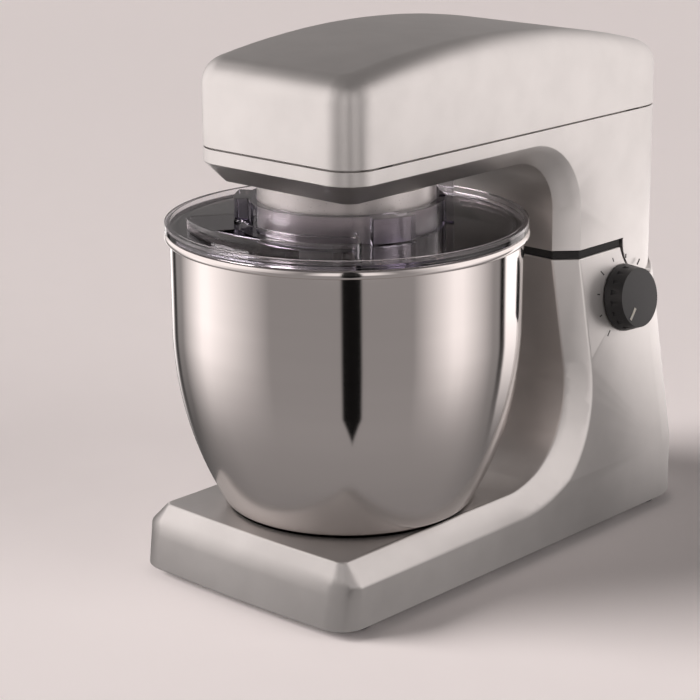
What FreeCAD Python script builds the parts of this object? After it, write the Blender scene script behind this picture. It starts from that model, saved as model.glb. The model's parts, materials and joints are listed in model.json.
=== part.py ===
import FreeCAD, Part
import math
import os

# Tilt-head stand mixer with a bayonet bowl, a clipped splash guard and a planetary beater drive.
# Millimetres, +Z up, the front faces -Y. Heights are measured from the table, and y from the bowl's axis
# until the pieces are written: they then move so that the origin lies under the middle of the whole.

V = FreeCAD.Vector
UP = V(0, 0, 1)
ACROSS = V(1, 0, 0)
BACKWARD = V(0, 1, 0)
FAR = 400.0

# Fits
fit = 0.05
running = 0.05
free_gap = 0.3
swing_gap = 1.0

# Base and pillar
seat_margin = 15.5
front_margin = 30.5
base_underside = 6.2
base_top = 48.5
front_bow = 3.0
front_bow_radius = 1400.0
base_front_corner = 20.0
back_corner = 30.0
pillar_width = 144.0
pillar_depth = 116.0
bowl_to_pillar = 29.2
neck_height = 73.6
lower_sweep = 76.0
sweep_steps = 7
joint_from_pillar = 51.0
edge_chamfer = 13.8
wall = 3.0
gasket_height = 6.0
gasket_width = 9.0
gasket_inset = 1.2

# Base plate, feet and their screws
plate_recess = 2.3
plate_thickness = 2.5
plate_slot_width = 4.0
plate_slot_length = 60.0
plate_slot_pitch = 10.0
plate_slot_count = 6
foot_radius = 13.0
foot_top_radius = 10.0
foot_stud_radius = 4.0
foot_stud_length = 5.0
foot_inset = 22.0
foot_from_front = 33.0
foot_from_back = 30.0
screw_radius = 2.0
screw_head_radius = 3.8
screw_head_height = 2.4
screw_length = 16.0
post_radius = 5.0
post_height = 22.0
post_from_front = 41.0
post_from_back = 72.0
post_from_joint = (-55.0, 20.0)

# Bowl seat
seat_play = 0.6
seat_depth = 8.0
seat_floor = 2.5
seat_rim = 2.0
lug_count = 4
lug_reach = 3.2
lug_thickness = 2.2
lug_half_angle = 12.0
seat_screw_inset = 22.5
seat_boss_radius = 6.0
seat_boss_length = 10.0

# Bowl
bowl_radius = 116.8
bowl_sheet = 1.2
bowl_bottom = 50.0
bowl_straight_from = 172.0
bowl_curve = 240.0
bowl_knuckle = 4.0
bead_radius = 3.0
bead_height = 233.9
bead_overlap = 2.2
foot_ring_inset = 42.3
foot_ring_wall = 3.0
tab_reach = 3.4
tab_thickness = 2.0
tab_half_angle = 9.0

# Head
head_front = 73.0
head_over_guard = 31.9
head_front_corner = 22.6
upper_sweep = 40.0
parting_lift = 23.5
parting_gap = 1.0
crown_room = 16.9
crown_from_front = 143.0
front_drop = 13.0
back_drop = 29.0
shoulder_radius = 18.0
lip_depth = 6.0
lip_wall = 2.0
cover_tab_length = 13.0
cover_tab_width = 12.0
cover_tab_thickness = 6.0
cover_tab_from_front = 35.0
cover_tab_from_back = 40.0
cover_boss_radius = 5.0
vent_count = 5
vent_height = 3.2
vent_pitch = 8.0
vent_length = 72.0
vent_lift = 40.5

# Tilt hinge
hinge_from_back = 26.0
tilt_range = 45.0
ear_place = 50.0
ear_thickness = 12.0
ear_radius = 15.0
hinge_pin_radius = 6.0
hinge_bush_wall = 2.0
hinge_bush_length = 20.0

# Gears
pressure_angle = 20.0
backlash = 0.35
tooth_addendum = 0.9
tooth_dedendum = 1.25
spur_module = 1.5
hub_teeth = 60
intermediate_teeth = 15
spur_width = 14.0
pinion_overhang = 1.0
planet_module = 1.75
ring_teeth = 48
planet_teeth = 14
ring_gear_height = 13.0

# Gearbox
gearbox_wall = 4.0
gearbox_floor = 5.0
gearbox_height = 40.0
gearbox_room = 3.5
gearbox_post_radius = 6.0
gear_lift = 19.0
hub_shaft_radius = 8.0
hub_bearing_radius = 17.5
hub_bearing_width = 11.0
bearing_seat_wall = 3.5
circlip_thickness = 1.5
circlip_reach = 3.0
shaft_radius = 4.0
bearing_radius = 11.0
bearing_width = 7.0
casing_hub_hole = 14.0

# Hub and tool
skirt_radius = 59.0
skirt_wall = 3.0
skirt_lift = 1.8
carrier_thickness = 11.0
carrier_gap = 1.6
carrier_rim_gap = 2.0
tool_boss_radius = 12.0
tool_boss_drop = 8.0
tool_shaft_radius = 6.0
tool_bush_wall = 2.0
tool_bush_length = 6.0
pinion_gap = 1.6
cross_pin_radius = 2.0
cross_pin_length = 27.0
cross_pin_depth = 18.0

# Beater
beater_sleeve_radius = 11.0
beater_sleeve_gap = 3.5
beater_socket_depth = 29.0
beater_sleeve_floor = 4.0
beater_floor_gap = 5.8
beater_neck = 3.0
beater_thickness = 8.0
beater_rail = 9.0
beater_rib = 7.0
beater_shoulder = 47.0
beater_belly = 54.0
beater_toe = 31.0
beater_corner = 14.0

# Belt drive and motor
motor_from_pillar = 44.0
motor_pulley_radius = 10.0
driven_pulley_radius = 30.0
pulley_height = 12.0
pulley_flange = 1.5
pulley_rim = 2.5
pulley_lift = 5.0
belt_thickness = 2.5
belt_width = 8.0
motor_lift = 26.5
motor_size = 80.0
motor_corner = 10.0
motor_bolt_inset = 7.0
stator_height = 42.0
stator_bore = 26.0
coil_outer_radius = 35.0
coil_half_angle = 48.0
coil_overhang = 6.0
bracket_thickness = 5.0
bracket_arm = 12.0
armature_radius = 25.0
armature_slots = 12
slot_width = 3.0
slot_depth = 8.0
winding_radius = 20.0
winding_height = 7.0
commutator_radius = 12.0
commutator_height = 11.0
commutator_lift = 5.0
brush_width = 6.0
brush_length = 14.0
brush_arm = 12.0
fan_radius = 29.0
fan_height = 9.0
fan_disc = 2.0
fan_blades = 9
fan_blade = 1.5
fan_hub_radius = 9.0
fan_gap = 2.0

# Splash guard
guard_overhang = 3.2
guard_plate = 2.6
guard_rim_height = 5.8
guard_rim_wall = 3.4
guard_turn = 8.0
guard_lip_gap = 3.6
guard_lip_wall = 2.0
guard_lip_depth = 5.0
collar_gap = 0.6
collar_wall = 5.5
collar_height = 18.0
chute_inset = 3.0
chute_inner = 71.0
chute_half_angle = 40.0
chute_wall = 2.6
chute_height = 11.0
chute_inner_height = 7.0
chute_corner = 7.0
block_reach = 9.0
block_from = 48.0
block_to = 71.0
clip_reach = 5.5
clip_from = 118.0
clip_to = 125.0

# Speed knob
knob_from_pillar = 59.0
knob_below_top = 35.5
knob_radius = 24.0
knob_top_radius = 21.0
knob_depth = 13.0
knob_gap = 1.0
knob_flutes = 18
flute_radius = 2.2
knob_shaft_radius = 3.0
knob_shaft_length = 20.0
knob_shaft_inside = 9.0
pot_size = 17.0
pot_depth = 11.0
pot_bush_radius = 4.5
pot_bush_length = 6.5

# Head release
latch_from_pillar = 50.0
latch_below_top = 33.5
latch_shaft_radius = 5.0
latch_x = -36.0
hook_thickness = 8.0
hook_rise = 24.0
hook_arm = 8.0
hook_nose_height = 5.0
hook_clearance = 0.4
hook_hub_radius = 9.0
keeper_from_pillar = 22.0
keeper_thickness = 3.5
keeper_width = 20.0
keeper_drop = 26.0
keeper_foot = 9.0
keeper_window = 9.0
keeper_window_width = 12.0
keeper_swing = 6.0
lever_hub_radius = 10.0
lever_thickness = 6.0
lever_length = 30.0
lever_tip_radius = 7.5
latch_rib_thickness = 6.0

# Electrics
gland_height = 26.0
gland_flange_radius = 10.6
gland_flange = 3.4
gland_radius = 7.0
gland_bore = 4.2
gland_length = 22.0
gland_boss_size = 28.0
gland_boss_depth = 11.0
board_length = 70.0
board_width = 56.0
board_thickness = 1.6
board_lift = 9.0
board_from_pillar = 24.0
standoff_radius = 3.5
standoff_inset = 6.0
terminal_size = (34.0, 14.0, 16.0)
terminal_from_pillar = 64.0
terminal_hole_radius = 2.6
terminal_pitch = 10.0

# Places that follow from the sizes above
foot_ring_radius = bowl_radius - foot_ring_inset
seat_radius = foot_ring_radius + tab_reach + seat_play + seat_rim
seat_screw_circle = foot_ring_radius - seat_screw_inset
base_width = 2 * (seat_radius + seat_margin)
axis_from_front = seat_radius + front_margin
pillar_front = bowl_radius + bowl_to_pillar
base_depth = axis_from_front + pillar_front + pillar_depth
front = -axis_from_front
back = base_depth - axis_from_front
casing_joint = pillar_front - joint_from_pillar
guard_bottom = bead_height + bead_radius + free_gap
head_underside = guard_bottom + head_over_guard
pillar_top = head_underside - neck_height
head_bottom = pillar_top + gasket_height
side_lean = math.atan2((base_width - pillar_width) / 2, pillar_top - base_top)
plate_low = base_underside + plate_recess
plate_top = plate_low + plate_thickness
seat_level = base_top - seat_depth
hinge_y = back - hinge_from_back
hinge_z = pillar_top + gasket_height / 2
knuckle_radius = hinge_from_back
trough_radius = knuckle_radius / math.cos(math.radians(tilt_range / 2)) + swing_gap / 2
knob_place = pillar_front + knob_from_pillar
knob_height = pillar_top - knob_below_top
latch_place = pillar_front + latch_from_pillar
latch_height = pillar_top - latch_below_top
keeper_place = pillar_front + keeper_from_pillar
board_place = pillar_front + board_from_pillar
terminal_place = pillar_front + terminal_from_pillar
crown_place = crown_from_front - head_front
parting_height = head_underside + parting_lift
vent_start = head_bottom + vent_lift
intermediate_y = spur_module * (hub_teeth + intermediate_teeth) / 2
tool_y = -planet_module * (ring_teeth - planet_teeth) / 2
motor_y = pillar_front + motor_from_pillar
belt_distance = motor_y - intermediate_y
gearbox_low = head_underside + wall
gearbox_top = gearbox_low + gearbox_height
cover_plate_top = gearbox_top + gearbox_floor
hub_gear_low = gearbox_low + gear_lift
hub_gear_tip = spur_module * (hub_teeth / 2 + tooth_addendum)
ring_gear_low = head_underside - ring_gear_height
carrier_top = ring_gear_low - carrier_gap
carrier_low = carrier_top - carrier_thickness
pinion_top = head_underside - pinion_gap
skirt_bottom = guard_bottom + skirt_lift
beater_sleeve_top = carrier_low - tool_boss_drop - beater_sleeve_gap
cross_pin_height = beater_sleeve_top - cross_pin_depth
tool_shaft_end = beater_sleeve_top - beater_socket_depth
beater_top = tool_shaft_end - beater_neck
beater_bottom = bowl_bottom + bowl_sheet + beater_floor_gap
gear_room = hub_gear_tip + gearbox_room
gearbox_back = intermediate_y + bearing_radius + bearing_seat_wall + gearbox_room
pulley_low = cover_plate_top + bearing_width + pulley_lift
pulley_top = pulley_low + pulley_height
crown_height = pulley_top + crown_room + wall
motor_low = head_bottom + motor_lift
stator_low = motor_low + bracket_thickness + commutator_lift + commutator_height + winding_height + 1.5
stator_top = stator_low + stator_height
fan_low = stator_top + winding_height + fan_gap
motor_top = fan_low + fan_height + fan_gap
motor_bolt = motor_size / 2 - motor_bolt_inset
bead_circle = bowl_radius + bead_radius - bead_overlap
guard_radius = bowl_radius + guard_overhang
guard_lip_radius = bowl_radius - bowl_sheet - guard_lip_gap
chute_outer = guard_lip_radius - chute_inset
guard_top = guard_bottom + guard_plate
collar_inner = skirt_radius + collar_gap
collar_outer = collar_inner + collar_wall


def half_width_at(height):
    """Half of the body's width at a height: it widens in a straight line from the pillar to the base."""
    share = (pillar_top - height) / (pillar_top - base_top)
    share = min(1.0, max(0.0, share))
    return pillar_width / 2 + share * (base_width - pillar_width) / 2


def box(x0, x1, y0, y1, z0, z1):
    return Part.makeBox(x1 - x0, y1 - y0, z1 - z0, V(x0, y0, z0))


def upright(radius, low, high, x=0.0, y=0.0):
    return Part.makeCylinder(radius, high - low, V(x, y, low), UP)


def collar(inner, outer, low, high, x=0.0, y=0.0):
    return upright(outer, low, high, x, y).cut(upright(inner, low, high, x, y))


def crosswise(radius, x0, x1, y, z):
    return Part.makeCylinder(radius, x1 - x0, V(x0, y, z), ACROSS)


def joined(shapes):
    whole = shapes[0].fuse(shapes[1:]).removeSplitter()
    return whole.Solids[0] if len(whole.Solids) == 1 else whole


def rounded_outline(corners, place):
    """Closed wire through (u, v, radius) corners, each turned by a tangent arc; place puts (u, v) in space."""
    pieces = []
    for index, (u, v, radius) in enumerate(corners):
        before = corners[index - 1]
        after = corners[(index + 1) % len(corners)]
        back_u, back_v = before[0] - u, before[1] - v
        on_u, on_v = after[0] - u, after[1] - v
        back_length, on_length = math.hypot(back_u, back_v), math.hypot(on_u, on_v)
        back_u, back_v = back_u / back_length, back_v / back_length
        on_u, on_v = on_u / on_length, on_v / on_length
        half = math.acos(back_u * on_u + back_v * on_v) / 2
        run = radius / math.tan(half)
        inward = math.hypot(back_u + on_u, back_v + on_v)
        depth = radius / math.sin(half) - radius
        middle = (u + (back_u + on_u) / inward * depth, v + (back_v + on_v) / inward * depth)
        pieces.append(((u + back_u * run, v + back_v * run), middle, (u + on_u * run, v + on_v * run), radius))
    edges = []
    for index, (start, middle, end, radius) in enumerate(pieces):
        if radius > 0:
            edges.append(Part.Arc(place(*start), place(*middle), place(*end)).toShape())
        following = pieces[(index + 1) % len(pieces)][0]
        edges.append(Part.LineSegment(place(*end), place(*following)).toShape())
    return Part.Wire(edges)


def plan_block(corners, low, high):
    outline = rounded_outline(corners, lambda u, v: V(u, v, low))
    return Part.Face(outline).extrude(V(0, 0, high - low))


def side_block(corners, x0, x1):
    outline = rounded_outline(corners, lambda u, v: V(x0, u, v))
    return Part.Face(outline).extrude(V(x1 - x0, 0, 0))


def sector(inner, outer, start, end, low, high, corner=0.0):
    """Block between two radii and two bearings in degrees, its four upright edges rounded by corner."""

    def at(radius, bearing):
        angle = math.radians(bearing)
        return V(radius * math.cos(angle), radius * math.sin(angle), low)

    middle = (start + end) / 2
    edges = [
        Part.Arc(at(outer, start), at(outer, middle), at(outer, end)).toShape(),
        Part.LineSegment(at(outer, end), at(inner, end)).toShape(),
        Part.Arc(at(inner, end), at(inner, middle), at(inner, start)).toShape(),
        Part.LineSegment(at(inner, start), at(outer, start)).toShape(),
    ]
    block = Part.Face(Part.Wire(edges)).extrude(V(0, 0, high - low))
    if corner > 0:
        rising = [edge for edge in block.Edges if edge.BoundBox.ZLength > (high - low) / 2]
        block = block.makeFillet(corner, rising)
    return block


def turned(shape, degrees, x=0.0, y=0.0):
    copy = shape.copy()
    copy.rotate(V(x, y, 0), UP, degrees)
    return copy


def ring_of(shape, count, start=0.0):
    return [turned(shape, start + index * 360.0 / count) for index in range(count)]


def edge_middle(edge):
    return edge.valueAt((edge.FirstParameter + edge.LastParameter) / 2)


def base_plan(inset):
    half = base_width / 2 - inset
    apex = front + inset - front_bow_radius * (math.hypot(half, front_bow) / half - 1)
    return [
        (half, back - inset, back_corner - inset),
        (-half, back - inset, back_corner - inset),
        (-half, apex + front_bow, base_front_corner - inset),
        (0.0, apex, front_bow_radius),
        (half, apex + front_bow, base_front_corner - inset),
    ]


def pillar_plan(half, inset):
    corner = back_corner - inset
    return [(half, back - inset, corner), (-half, back - inset, corner), (-half, front, 0.0), (half, front, 0.0)]


def base_block(inset, low):
    """Slab and pillar as one solid, with every face moved in by inset; low is where it starts."""
    slab_top = base_top - inset
    top = pillar_top - inset
    chamfer = edge_chamfer - inset * (2 - math.sqrt(2))
    sweep = lower_sweep + inset
    centre_y = pillar_front - lower_sweep
    centre_z = base_top + lower_sweep
    margin = base_width / 8

    slab = plan_block(base_plan(inset), low, slab_top)
    rim = [edge for edge in slab.Edges if edge.BoundBox.ZMin > slab_top - 0.01]
    slab = slab.makeChamfer(chamfer, rim)

    wide = base_width / 2 - inset
    slim = half_width_at(top) - inset
    skirt = plan_block(pillar_plan(wide, inset), low, base_top)
    outlines = []
    for half, height in ((wide, base_top), (slim, top)):
        outlines.append(rounded_outline(pillar_plan(half, inset), lambda u, v: V(u, v, height)))
    envelope = skirt.fuse(Part.makeLoft(outlines, True, True))

    def section(half, y, z, turn):
        """Chamfered outline across the body; turn is 0 under the sweep's centre and 90 behind it."""
        reach_y, reach_z = math.sin(math.radians(turn)), -math.cos(math.radians(turn))
        near = half - chamfer
        outer = half + margin
        points = [
            (-near, 0.0), (near, 0.0), (outer, chamfer + margin), (outer, FAR), (-outer, FAR),
            (-outer, chamfer + margin), (-near, 0.0),
        ]
        return Part.makePolygon([V(x, y + reach_y * d, z + reach_z * d) for x, d in points])

    sections = []
    for step in range(sweep_steps):
        turn = 90.0 * step / (sweep_steps - 1)
        y = centre_y + sweep * math.sin(math.radians(turn))
        z = centre_z - sweep * math.cos(math.radians(turn))
        sections.append(section(half_width_at(z) - inset, y, z, turn))
    bend = Part.makeLoft(sections, True, False)
    column_top = section(half_width_at(top) - inset, pillar_front + inset, top, 90.0)
    column = Part.makeLoft([sections[-1], column_top], True, True)
    return joined([slab, envelope.common(bend), envelope.common(column)])


def head_block(inset):
    """Head and upper pillar as one solid, with every face moved in by inset."""
    half = pillar_width / 2 - inset
    under = head_underside + inset
    low = head_bottom + inset
    sweep = upper_sweep + inset
    inner = pillar_front + inset
    plan = [
        (half, back - inset, back_corner - inset),
        (-half, back - inset, back_corner - inset),
        (-half, -head_front + inset, head_front_corner - inset),
        (half, -head_front + inset, head_front_corner - inset),
    ]
    column = plan_block(plan, low, low + FAR)
    top = crown_height - inset
    crown = Part.Circle(
        V(-FAR / 2, -head_front, top - front_drop),
        V(-FAR / 2, crown_place, top),
        V(-FAR / 2, back, top - back_drop),
    )

    def on_crown(y):
        rise = math.sqrt(crown.Radius ** 2 - (y - crown.Center.y) ** 2)
        return V(-FAR / 2, y, crown.Center.z + rise)

    ahead, behind = V(-FAR / 2, -head_front - wall, under), V(-FAR / 2, back + wall, low)
    turn = V(-FAR / 2, inner - sweep * (1 - math.sqrt(0.5)), under - sweep * (1 - math.sqrt(0.5)))
    edges = [
        Part.Arc(on_crown(ahead.y), on_crown(crown_place), on_crown(behind.y)).toShape(),
        Part.LineSegment(on_crown(behind.y), behind).toShape(),
        Part.LineSegment(behind, V(-FAR / 2, inner, low)).toShape(),
        Part.LineSegment(V(-FAR / 2, inner, low), V(-FAR / 2, inner, under - sweep)).toShape(),
        Part.Arc(V(-FAR / 2, inner, under - sweep), turn, V(-FAR / 2, inner - sweep, under)).toShape(),
        Part.LineSegment(V(-FAR / 2, inner - sweep, under), ahead).toShape(),
        Part.LineSegment(ahead, on_crown(ahead.y)).toShape(),
    ]
    profile = Part.Face(Part.Wire(edges)).extrude(V(FAR, 0, 0))
    block = column.common(profile).Solids[0]

    def is_under_edge(edge):
        middle = edge_middle(edge)
        if middle.z > under + 0.01 or middle.z < low + 1 or middle.y > inner + 0.01:
            return False
        on_side = abs(middle.x) > half - 0.01
        on_front = abs(middle.z - under) < 0.01 and middle.y < -head_front + head_front_corner
        return on_side or on_front

    chamfer = edge_chamfer - inset * (2 - math.sqrt(2))
    block = block.makeChamfer(chamfer, [edge for edge in block.Edges if is_under_edge(edge)])
    lowest_rim = top - max(front_drop, back_drop) - 1
    rim = []
    for edge in block.Edges:
        ends = [vertex.Point for vertex in edge.Vertexes]
        level = math.hypot(ends[0].x - ends[-1].x, ends[0].y - ends[-1].y) > 0.01
        if level and edge_middle(edge).z > lowest_rim:
            rim.append(edge)
    return block.makeFillet(shoulder_radius - inset, rim)


def gear(teeth, module, addendum, dedendum, slack, low, high):
    """Spur gear with a tooth on the +X axis; slack thins each tooth at the pitch circle."""
    pitch = module * teeth / 2
    base = pitch * math.cos(math.radians(pressure_angle))
    tip = pitch + addendum * module
    root = pitch - dedendum * module

    def flare(radius):
        pressure = math.acos(min(1.0, base / radius))
        return math.tan(pressure) - pressure

    half_tooth = math.pi / (2 * teeth) - slack / (2 * pitch) + flare(pitch)
    points = []
    for index in range(teeth):
        middle = 2 * math.pi * index / teeth
        for radius, side in ((root, -1), (pitch, -1), (tip, -1), (tip, 1), (pitch, 1), (root, 1)):
            angle = middle + side * (half_tooth - flare(max(radius, base)))
            points.append(V(radius * math.cos(angle), radius * math.sin(angle), low))
    points.append(points[0])
    return Part.Face(Part.makePolygon(points)).extrude(V(0, 0, high - low))


def screw(x, y, seat, length, upward):
    """Pan-head screw whose head bears on the height seat, its shank pointing up or down."""
    if upward:
        head = upright(screw_head_radius, seat - screw_head_height, seat, x, y)
        shank = upright(screw_radius, seat, seat + length, x, y)
    else:
        head = upright(screw_head_radius, seat, seat + screw_head_height, x, y)
        shank = upright(screw_radius, seat - length, seat, x, y)
    return head.fuse(shank).removeSplitter()


def screw_hole(x, y, low, high):
    return upright(screw_radius + fit, low, high, x, y)


def on_side(shape):
    """Piece drawn along +X from the origin, set on the leaning right side wall at the speed knob."""
    placed = shape.copy()
    placed.rotate(V(0, 0, 0), V(0, 1, 0), -math.degrees(side_lean))
    placed.translate(V(half_width_at(knob_height), knob_place, knob_height))
    return placed


def plate_posts():
    offset = base_width / 2 - wall - post_radius + 1
    beside_joint = [casing_joint + step for step in post_from_joint]
    places = [front + post_from_front, *beside_joint, back - post_from_back]
    return [(side * offset, y) for side in (-1, 1) for y in places]


def wall_post(x, y):
    """Screw post that grows out of the base's side wall."""
    side = 1 if x > 0 else -1
    buried, reach = side * (base_width - wall) / 2, x - side * post_radius
    corner = post_radius - swing_gap
    plan = [(buried, y - post_radius, 0.0), (reach, y - post_radius, corner),
            (reach, y + post_radius, corner), (buried, y + post_radius, 0.0)]
    return plan_block(plan, plate_top, plate_top + post_height)


def foot_places():
    offset = base_width / 2 - foot_inset
    return [(side * offset, y) for side in (-1, 1) for y in (front + foot_from_front, back - foot_from_back)]


def seat_screw_places():
    return [
        (seat_screw_circle * math.cos(math.radians(a)), seat_screw_circle * math.sin(math.radians(a)))
        for a in (45, 135, 225, 315)
    ]


def motor_bolt_places():
    return [(sx * motor_bolt, motor_y + sy * motor_bolt) for sx in (-1, 1) for sy in (-1, 1)]


def gearbox_screw_places():
    half = gear_room - gearbox_post_radius + 1
    return [(side * half, y) for side in (-1, 1) for y in (-half, gearbox_back - gearbox_post_radius + 1)]


def cover_screw_places():
    offset = pillar_width / 2 - wall - cover_tab_length / 2
    places = (cover_tab_from_front - head_front, back - cover_tab_from_back)
    return [(side * offset, y) for side in (-1, 1) for y in places]


def standoff_places():
    half_length, half_width = board_length / 2 - standoff_inset, board_width / 2 - standoff_inset
    return [(sx * half_length, board_place + sy * half_width) for sx in (-1, 1) for sy in (-1, 1)]


def ear_zone(clearance):
    """Both stretches of the hinge line that the ears take up."""
    half = ear_thickness / 2 + clearance
    return [(side * ear_place - half, side * ear_place + half) for side in (-1, 1)]


def body_shell():
    """Slab and pillar shell with its seat recess, hinge ears, bosses and the opening for the base plate."""
    cup = upright(seat_radius + free_gap + wall, seat_level - wall, base_top - wall / 2)
    trough_wall = crosswise(trough_radius + wall, -FAR / 2, FAR / 2, hinge_y, hinge_z)
    rib_start = latch_x + hook_thickness / 2 + free_gap
    rib = box(rib_start, rib_start + latch_rib_thickness,
              latch_place - hook_hub_radius, latch_place + hook_hub_radius,
              latch_height - hook_hub_radius, pillar_top - wall / 2)
    lever_boss = crosswise(hook_hub_radius, -base_width / 2, latch_x - hook_thickness / 2 - free_gap,
                           latch_place, latch_height)
    gland_boss = box(-gland_boss_size / 2, gland_boss_size / 2, back - gland_boss_depth, back - wall / 2,
                     gland_height - gland_boss_size / 2, gland_height + gland_boss_size / 2)
    kept = [cup, trough_wall, rib, lever_boss, gland_boss]
    for x, y in plate_posts():
        kept.append(wall_post(x, y))
    for x, y in seat_screw_places():
        kept.append(upright(seat_boss_radius, seat_level - wall - seat_boss_length, seat_level - wall / 2, x, y))
    cavity = base_block(wall, base_underside - 1).cut(kept)
    casing = base_block(0.0, base_underside).cut(cavity.Solids[0])
    casing = casing.cut([
        upright(seat_radius + free_gap, seat_level, base_top + 1),
        crosswise(trough_radius, -FAR / 2, FAR / 2, hinge_y, hinge_z),
    ])
    ear_low = hinge_z - trough_radius - wall / 2
    ear_profile = [
        (hinge_y - ear_radius, ear_low, 0.0),
        (hinge_y - ear_radius, hinge_z + ear_radius, ear_radius - swing_gap),
        (hinge_y + ear_radius, hinge_z + ear_radius, ear_radius - swing_gap),
        (hinge_y + ear_radius, ear_low, 0.0),
    ]
    casing = joined([casing] + [side_block(ear_profile, x0, x1) for x0, x1 in ear_zone(0.0)])
    holes = [
        crosswise(hinge_pin_radius + fit, -FAR / 2, FAR / 2, hinge_y, hinge_z),
        crosswise(latch_shaft_radius + running, -base_width, rib_start + latch_rib_thickness + 1,
                  latch_place, latch_height),
        on_side(Part.makeCylinder(pot_bush_radius + fit, FAR / 8, V(-FAR / 16, 0, 0), ACROSS)),
        Part.makeCylinder(gland_radius + fit, FAR / 4, V(0, back - FAR / 8, gland_height), BACKWARD),
        Part.makeCylinder(gland_flange_radius + fit, FAR / 8, V(0, back - gland_flange, gland_height), BACKWARD),
        keeper_slot(pillar_top - wall - 1, pillar_top + 1, keeper_swing),
    ]
    for x, y in plate_posts():
        holes.append(screw_hole(x, y, plate_top - 1, plate_top + screw_length))
    for x, y in seat_screw_places():
        holes.append(screw_hole(x, y, seat_level - screw_length, seat_level + 1))
    return casing.cut(holes)


def base_casing():
    """Front half of the body's shell: the slab with the bowl's recess."""
    return body_shell().common(box(-FAR, FAR, -FAR, casing_joint, 0.0, FAR))


def pillar_casing():
    """Back half of the body's shell: the pillar with its hinge, latch and control openings."""
    return body_shell().common(box(-FAR, FAR, casing_joint, FAR, 0.0, FAR))


def keeper_slot(low, high, swing):
    half = keeper_width / 2 + swing_gap
    return box(latch_x - half, latch_x + half, keeper_place - swing_gap - swing,
               keeper_place + keeper_thickness + swing_gap, low, high)


def base_plate():
    plate = plan_block(base_plan(wall + free_gap), plate_low, plate_top)
    standoffs = [upright(standoff_radius, plate_top, plate_top + board_lift, x, y) for x, y in standoff_places()]
    plate = joined([plate] + standoffs)
    holes = [screw_hole(x, y, plate_low - 1, plate_top + 1) for x, y in plate_posts()]
    holes += [upright(foot_stud_radius + fit, plate_low - 1, plate_top + 1, x, y) for x, y in foot_places()]
    slots_start = -plate_slot_pitch * (plate_slot_count - 1) / 2
    for index in range(plate_slot_count):
        x = slots_start + index * plate_slot_pitch
        holes.append(box(x - plate_slot_width / 2, x + plate_slot_width / 2,
                         -plate_slot_length / 2, plate_slot_length / 2, plate_low - 1, plate_top + 1))
    return plate.cut(holes)


def base_plate_screws():
    return [screw(x, y, plate_low, screw_length, True) for x, y in plate_posts()]


def rubber_feet():
    feet = []
    for x, y in foot_places():
        pad = Part.makeCone(foot_radius, foot_top_radius, plate_low, V(x, y, 0), UP)
        stud = upright(foot_stud_radius, plate_low, plate_top + foot_stud_length, x, y)
        feet.append(pad.fuse(stud).removeSplitter())
    return feet


def bowl_seat():
    """Bayonet dish: a floor, an upstand and lugs that reach over the foot ring's tabs."""
    floor = upright(seat_radius, seat_level, seat_level + seat_floor)
    upstand = collar(seat_radius - seat_rim, seat_radius, seat_level, base_top - fit)
    lug = sector(seat_radius - seat_rim - lug_reach, seat_radius - seat_rim / 2, -lug_half_angle, lug_half_angle,
                 base_top - fit - lug_thickness, base_top - fit)
    seat = joined([floor, upstand] + ring_of(lug, lug_count))
    holes = []
    for x, y in seat_screw_places():
        holes.append(screw_hole(x, y, seat_level - 1, base_top))
    return seat.cut(holes)


def bowl_seat_screws():
    return [screw(x, y, seat_level + seat_floor, screw_length, False) for x, y in seat_screw_places()]


def hinge_pin():
    reach = ear_place + ear_thickness / 2
    return crosswise(hinge_pin_radius, -reach, reach, hinge_y, hinge_z)


def pillar_gasket():
    """Black band that fills the slit between head and pillar, open at the back for the hinge."""
    top = head_bottom - free_gap
    outlines = []
    for inset in (gasket_inset, gasket_inset + gasket_width):
        half = pillar_width / 2 - inset
        chamfer = edge_chamfer - inset * (2 - math.sqrt(2))
        near = pillar_front + inset
        corner = back_corner - inset
        plan = [(half, back - inset, corner), (-half, back - inset, corner), (-half, near + chamfer, 0.0),
                (-half + chamfer, near, 0.0), (half - chamfer, near, 0.0), (half, near + chamfer, 0.0)]
        outlines.append(plan_block(plan, pillar_top, top))
    band = outlines[0].cut(outlines[1])
    return band.cut(crosswise(trough_radius, -FAR / 2, FAR / 2, hinge_y, hinge_z))


def speed_control_board():
    """Circuit board with its capacitor, choke and heat sink."""
    low = plate_top + board_lift
    top = low + board_thickness
    half_length, half_width = board_length / 2, board_width / 2
    y0, y1 = board_place - half_width, board_place + half_width
    board = box(-half_length, half_length, y0, y1, low, top)
    capacitor = upright(board_width / 8, top, top + board_width / 3, -half_length / 3, board_place)
    choke = collar(board_width / 12, board_width / 6, top, top + board_width / 7, half_length / 3, board_place)
    sink = box(-half_length / 2, half_length / 2, y1 - board_width / 5, y1 - board_width / 8,
               top, top + board_width / 2)
    return joined([board, capacitor, choke, sink])


def speed_potentiometer():
    inner_face = -wall / math.cos(side_lean) - fit
    body = Part.makeBox(pot_depth, pot_size, pot_size, V(inner_face - pot_depth, -pot_size / 2, -pot_size / 2))
    bush = Part.makeCylinder(pot_bush_radius, pot_bush_length, V(inner_face, 0, 0), ACROSS)
    bore = Part.makeCylinder(knob_shaft_radius + running, FAR / 4, V(-knob_shaft_inside - fit, 0, 0), ACROSS)
    return on_side(body.fuse(bush).removeSplitter().cut(bore))


def cord_gland():
    start = back - gland_length
    flange = Part.makeCylinder(gland_flange_radius, gland_flange, V(0, back - gland_flange, gland_height), BACKWARD)
    barrel = Part.makeCylinder(gland_radius, gland_length, V(0, start, gland_height), BACKWARD)
    bore = Part.makeCylinder(gland_bore, FAR / 4, V(0, start - 1, gland_height), BACKWARD)
    return flange.fuse(barrel).removeSplitter().cut(bore)


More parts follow.
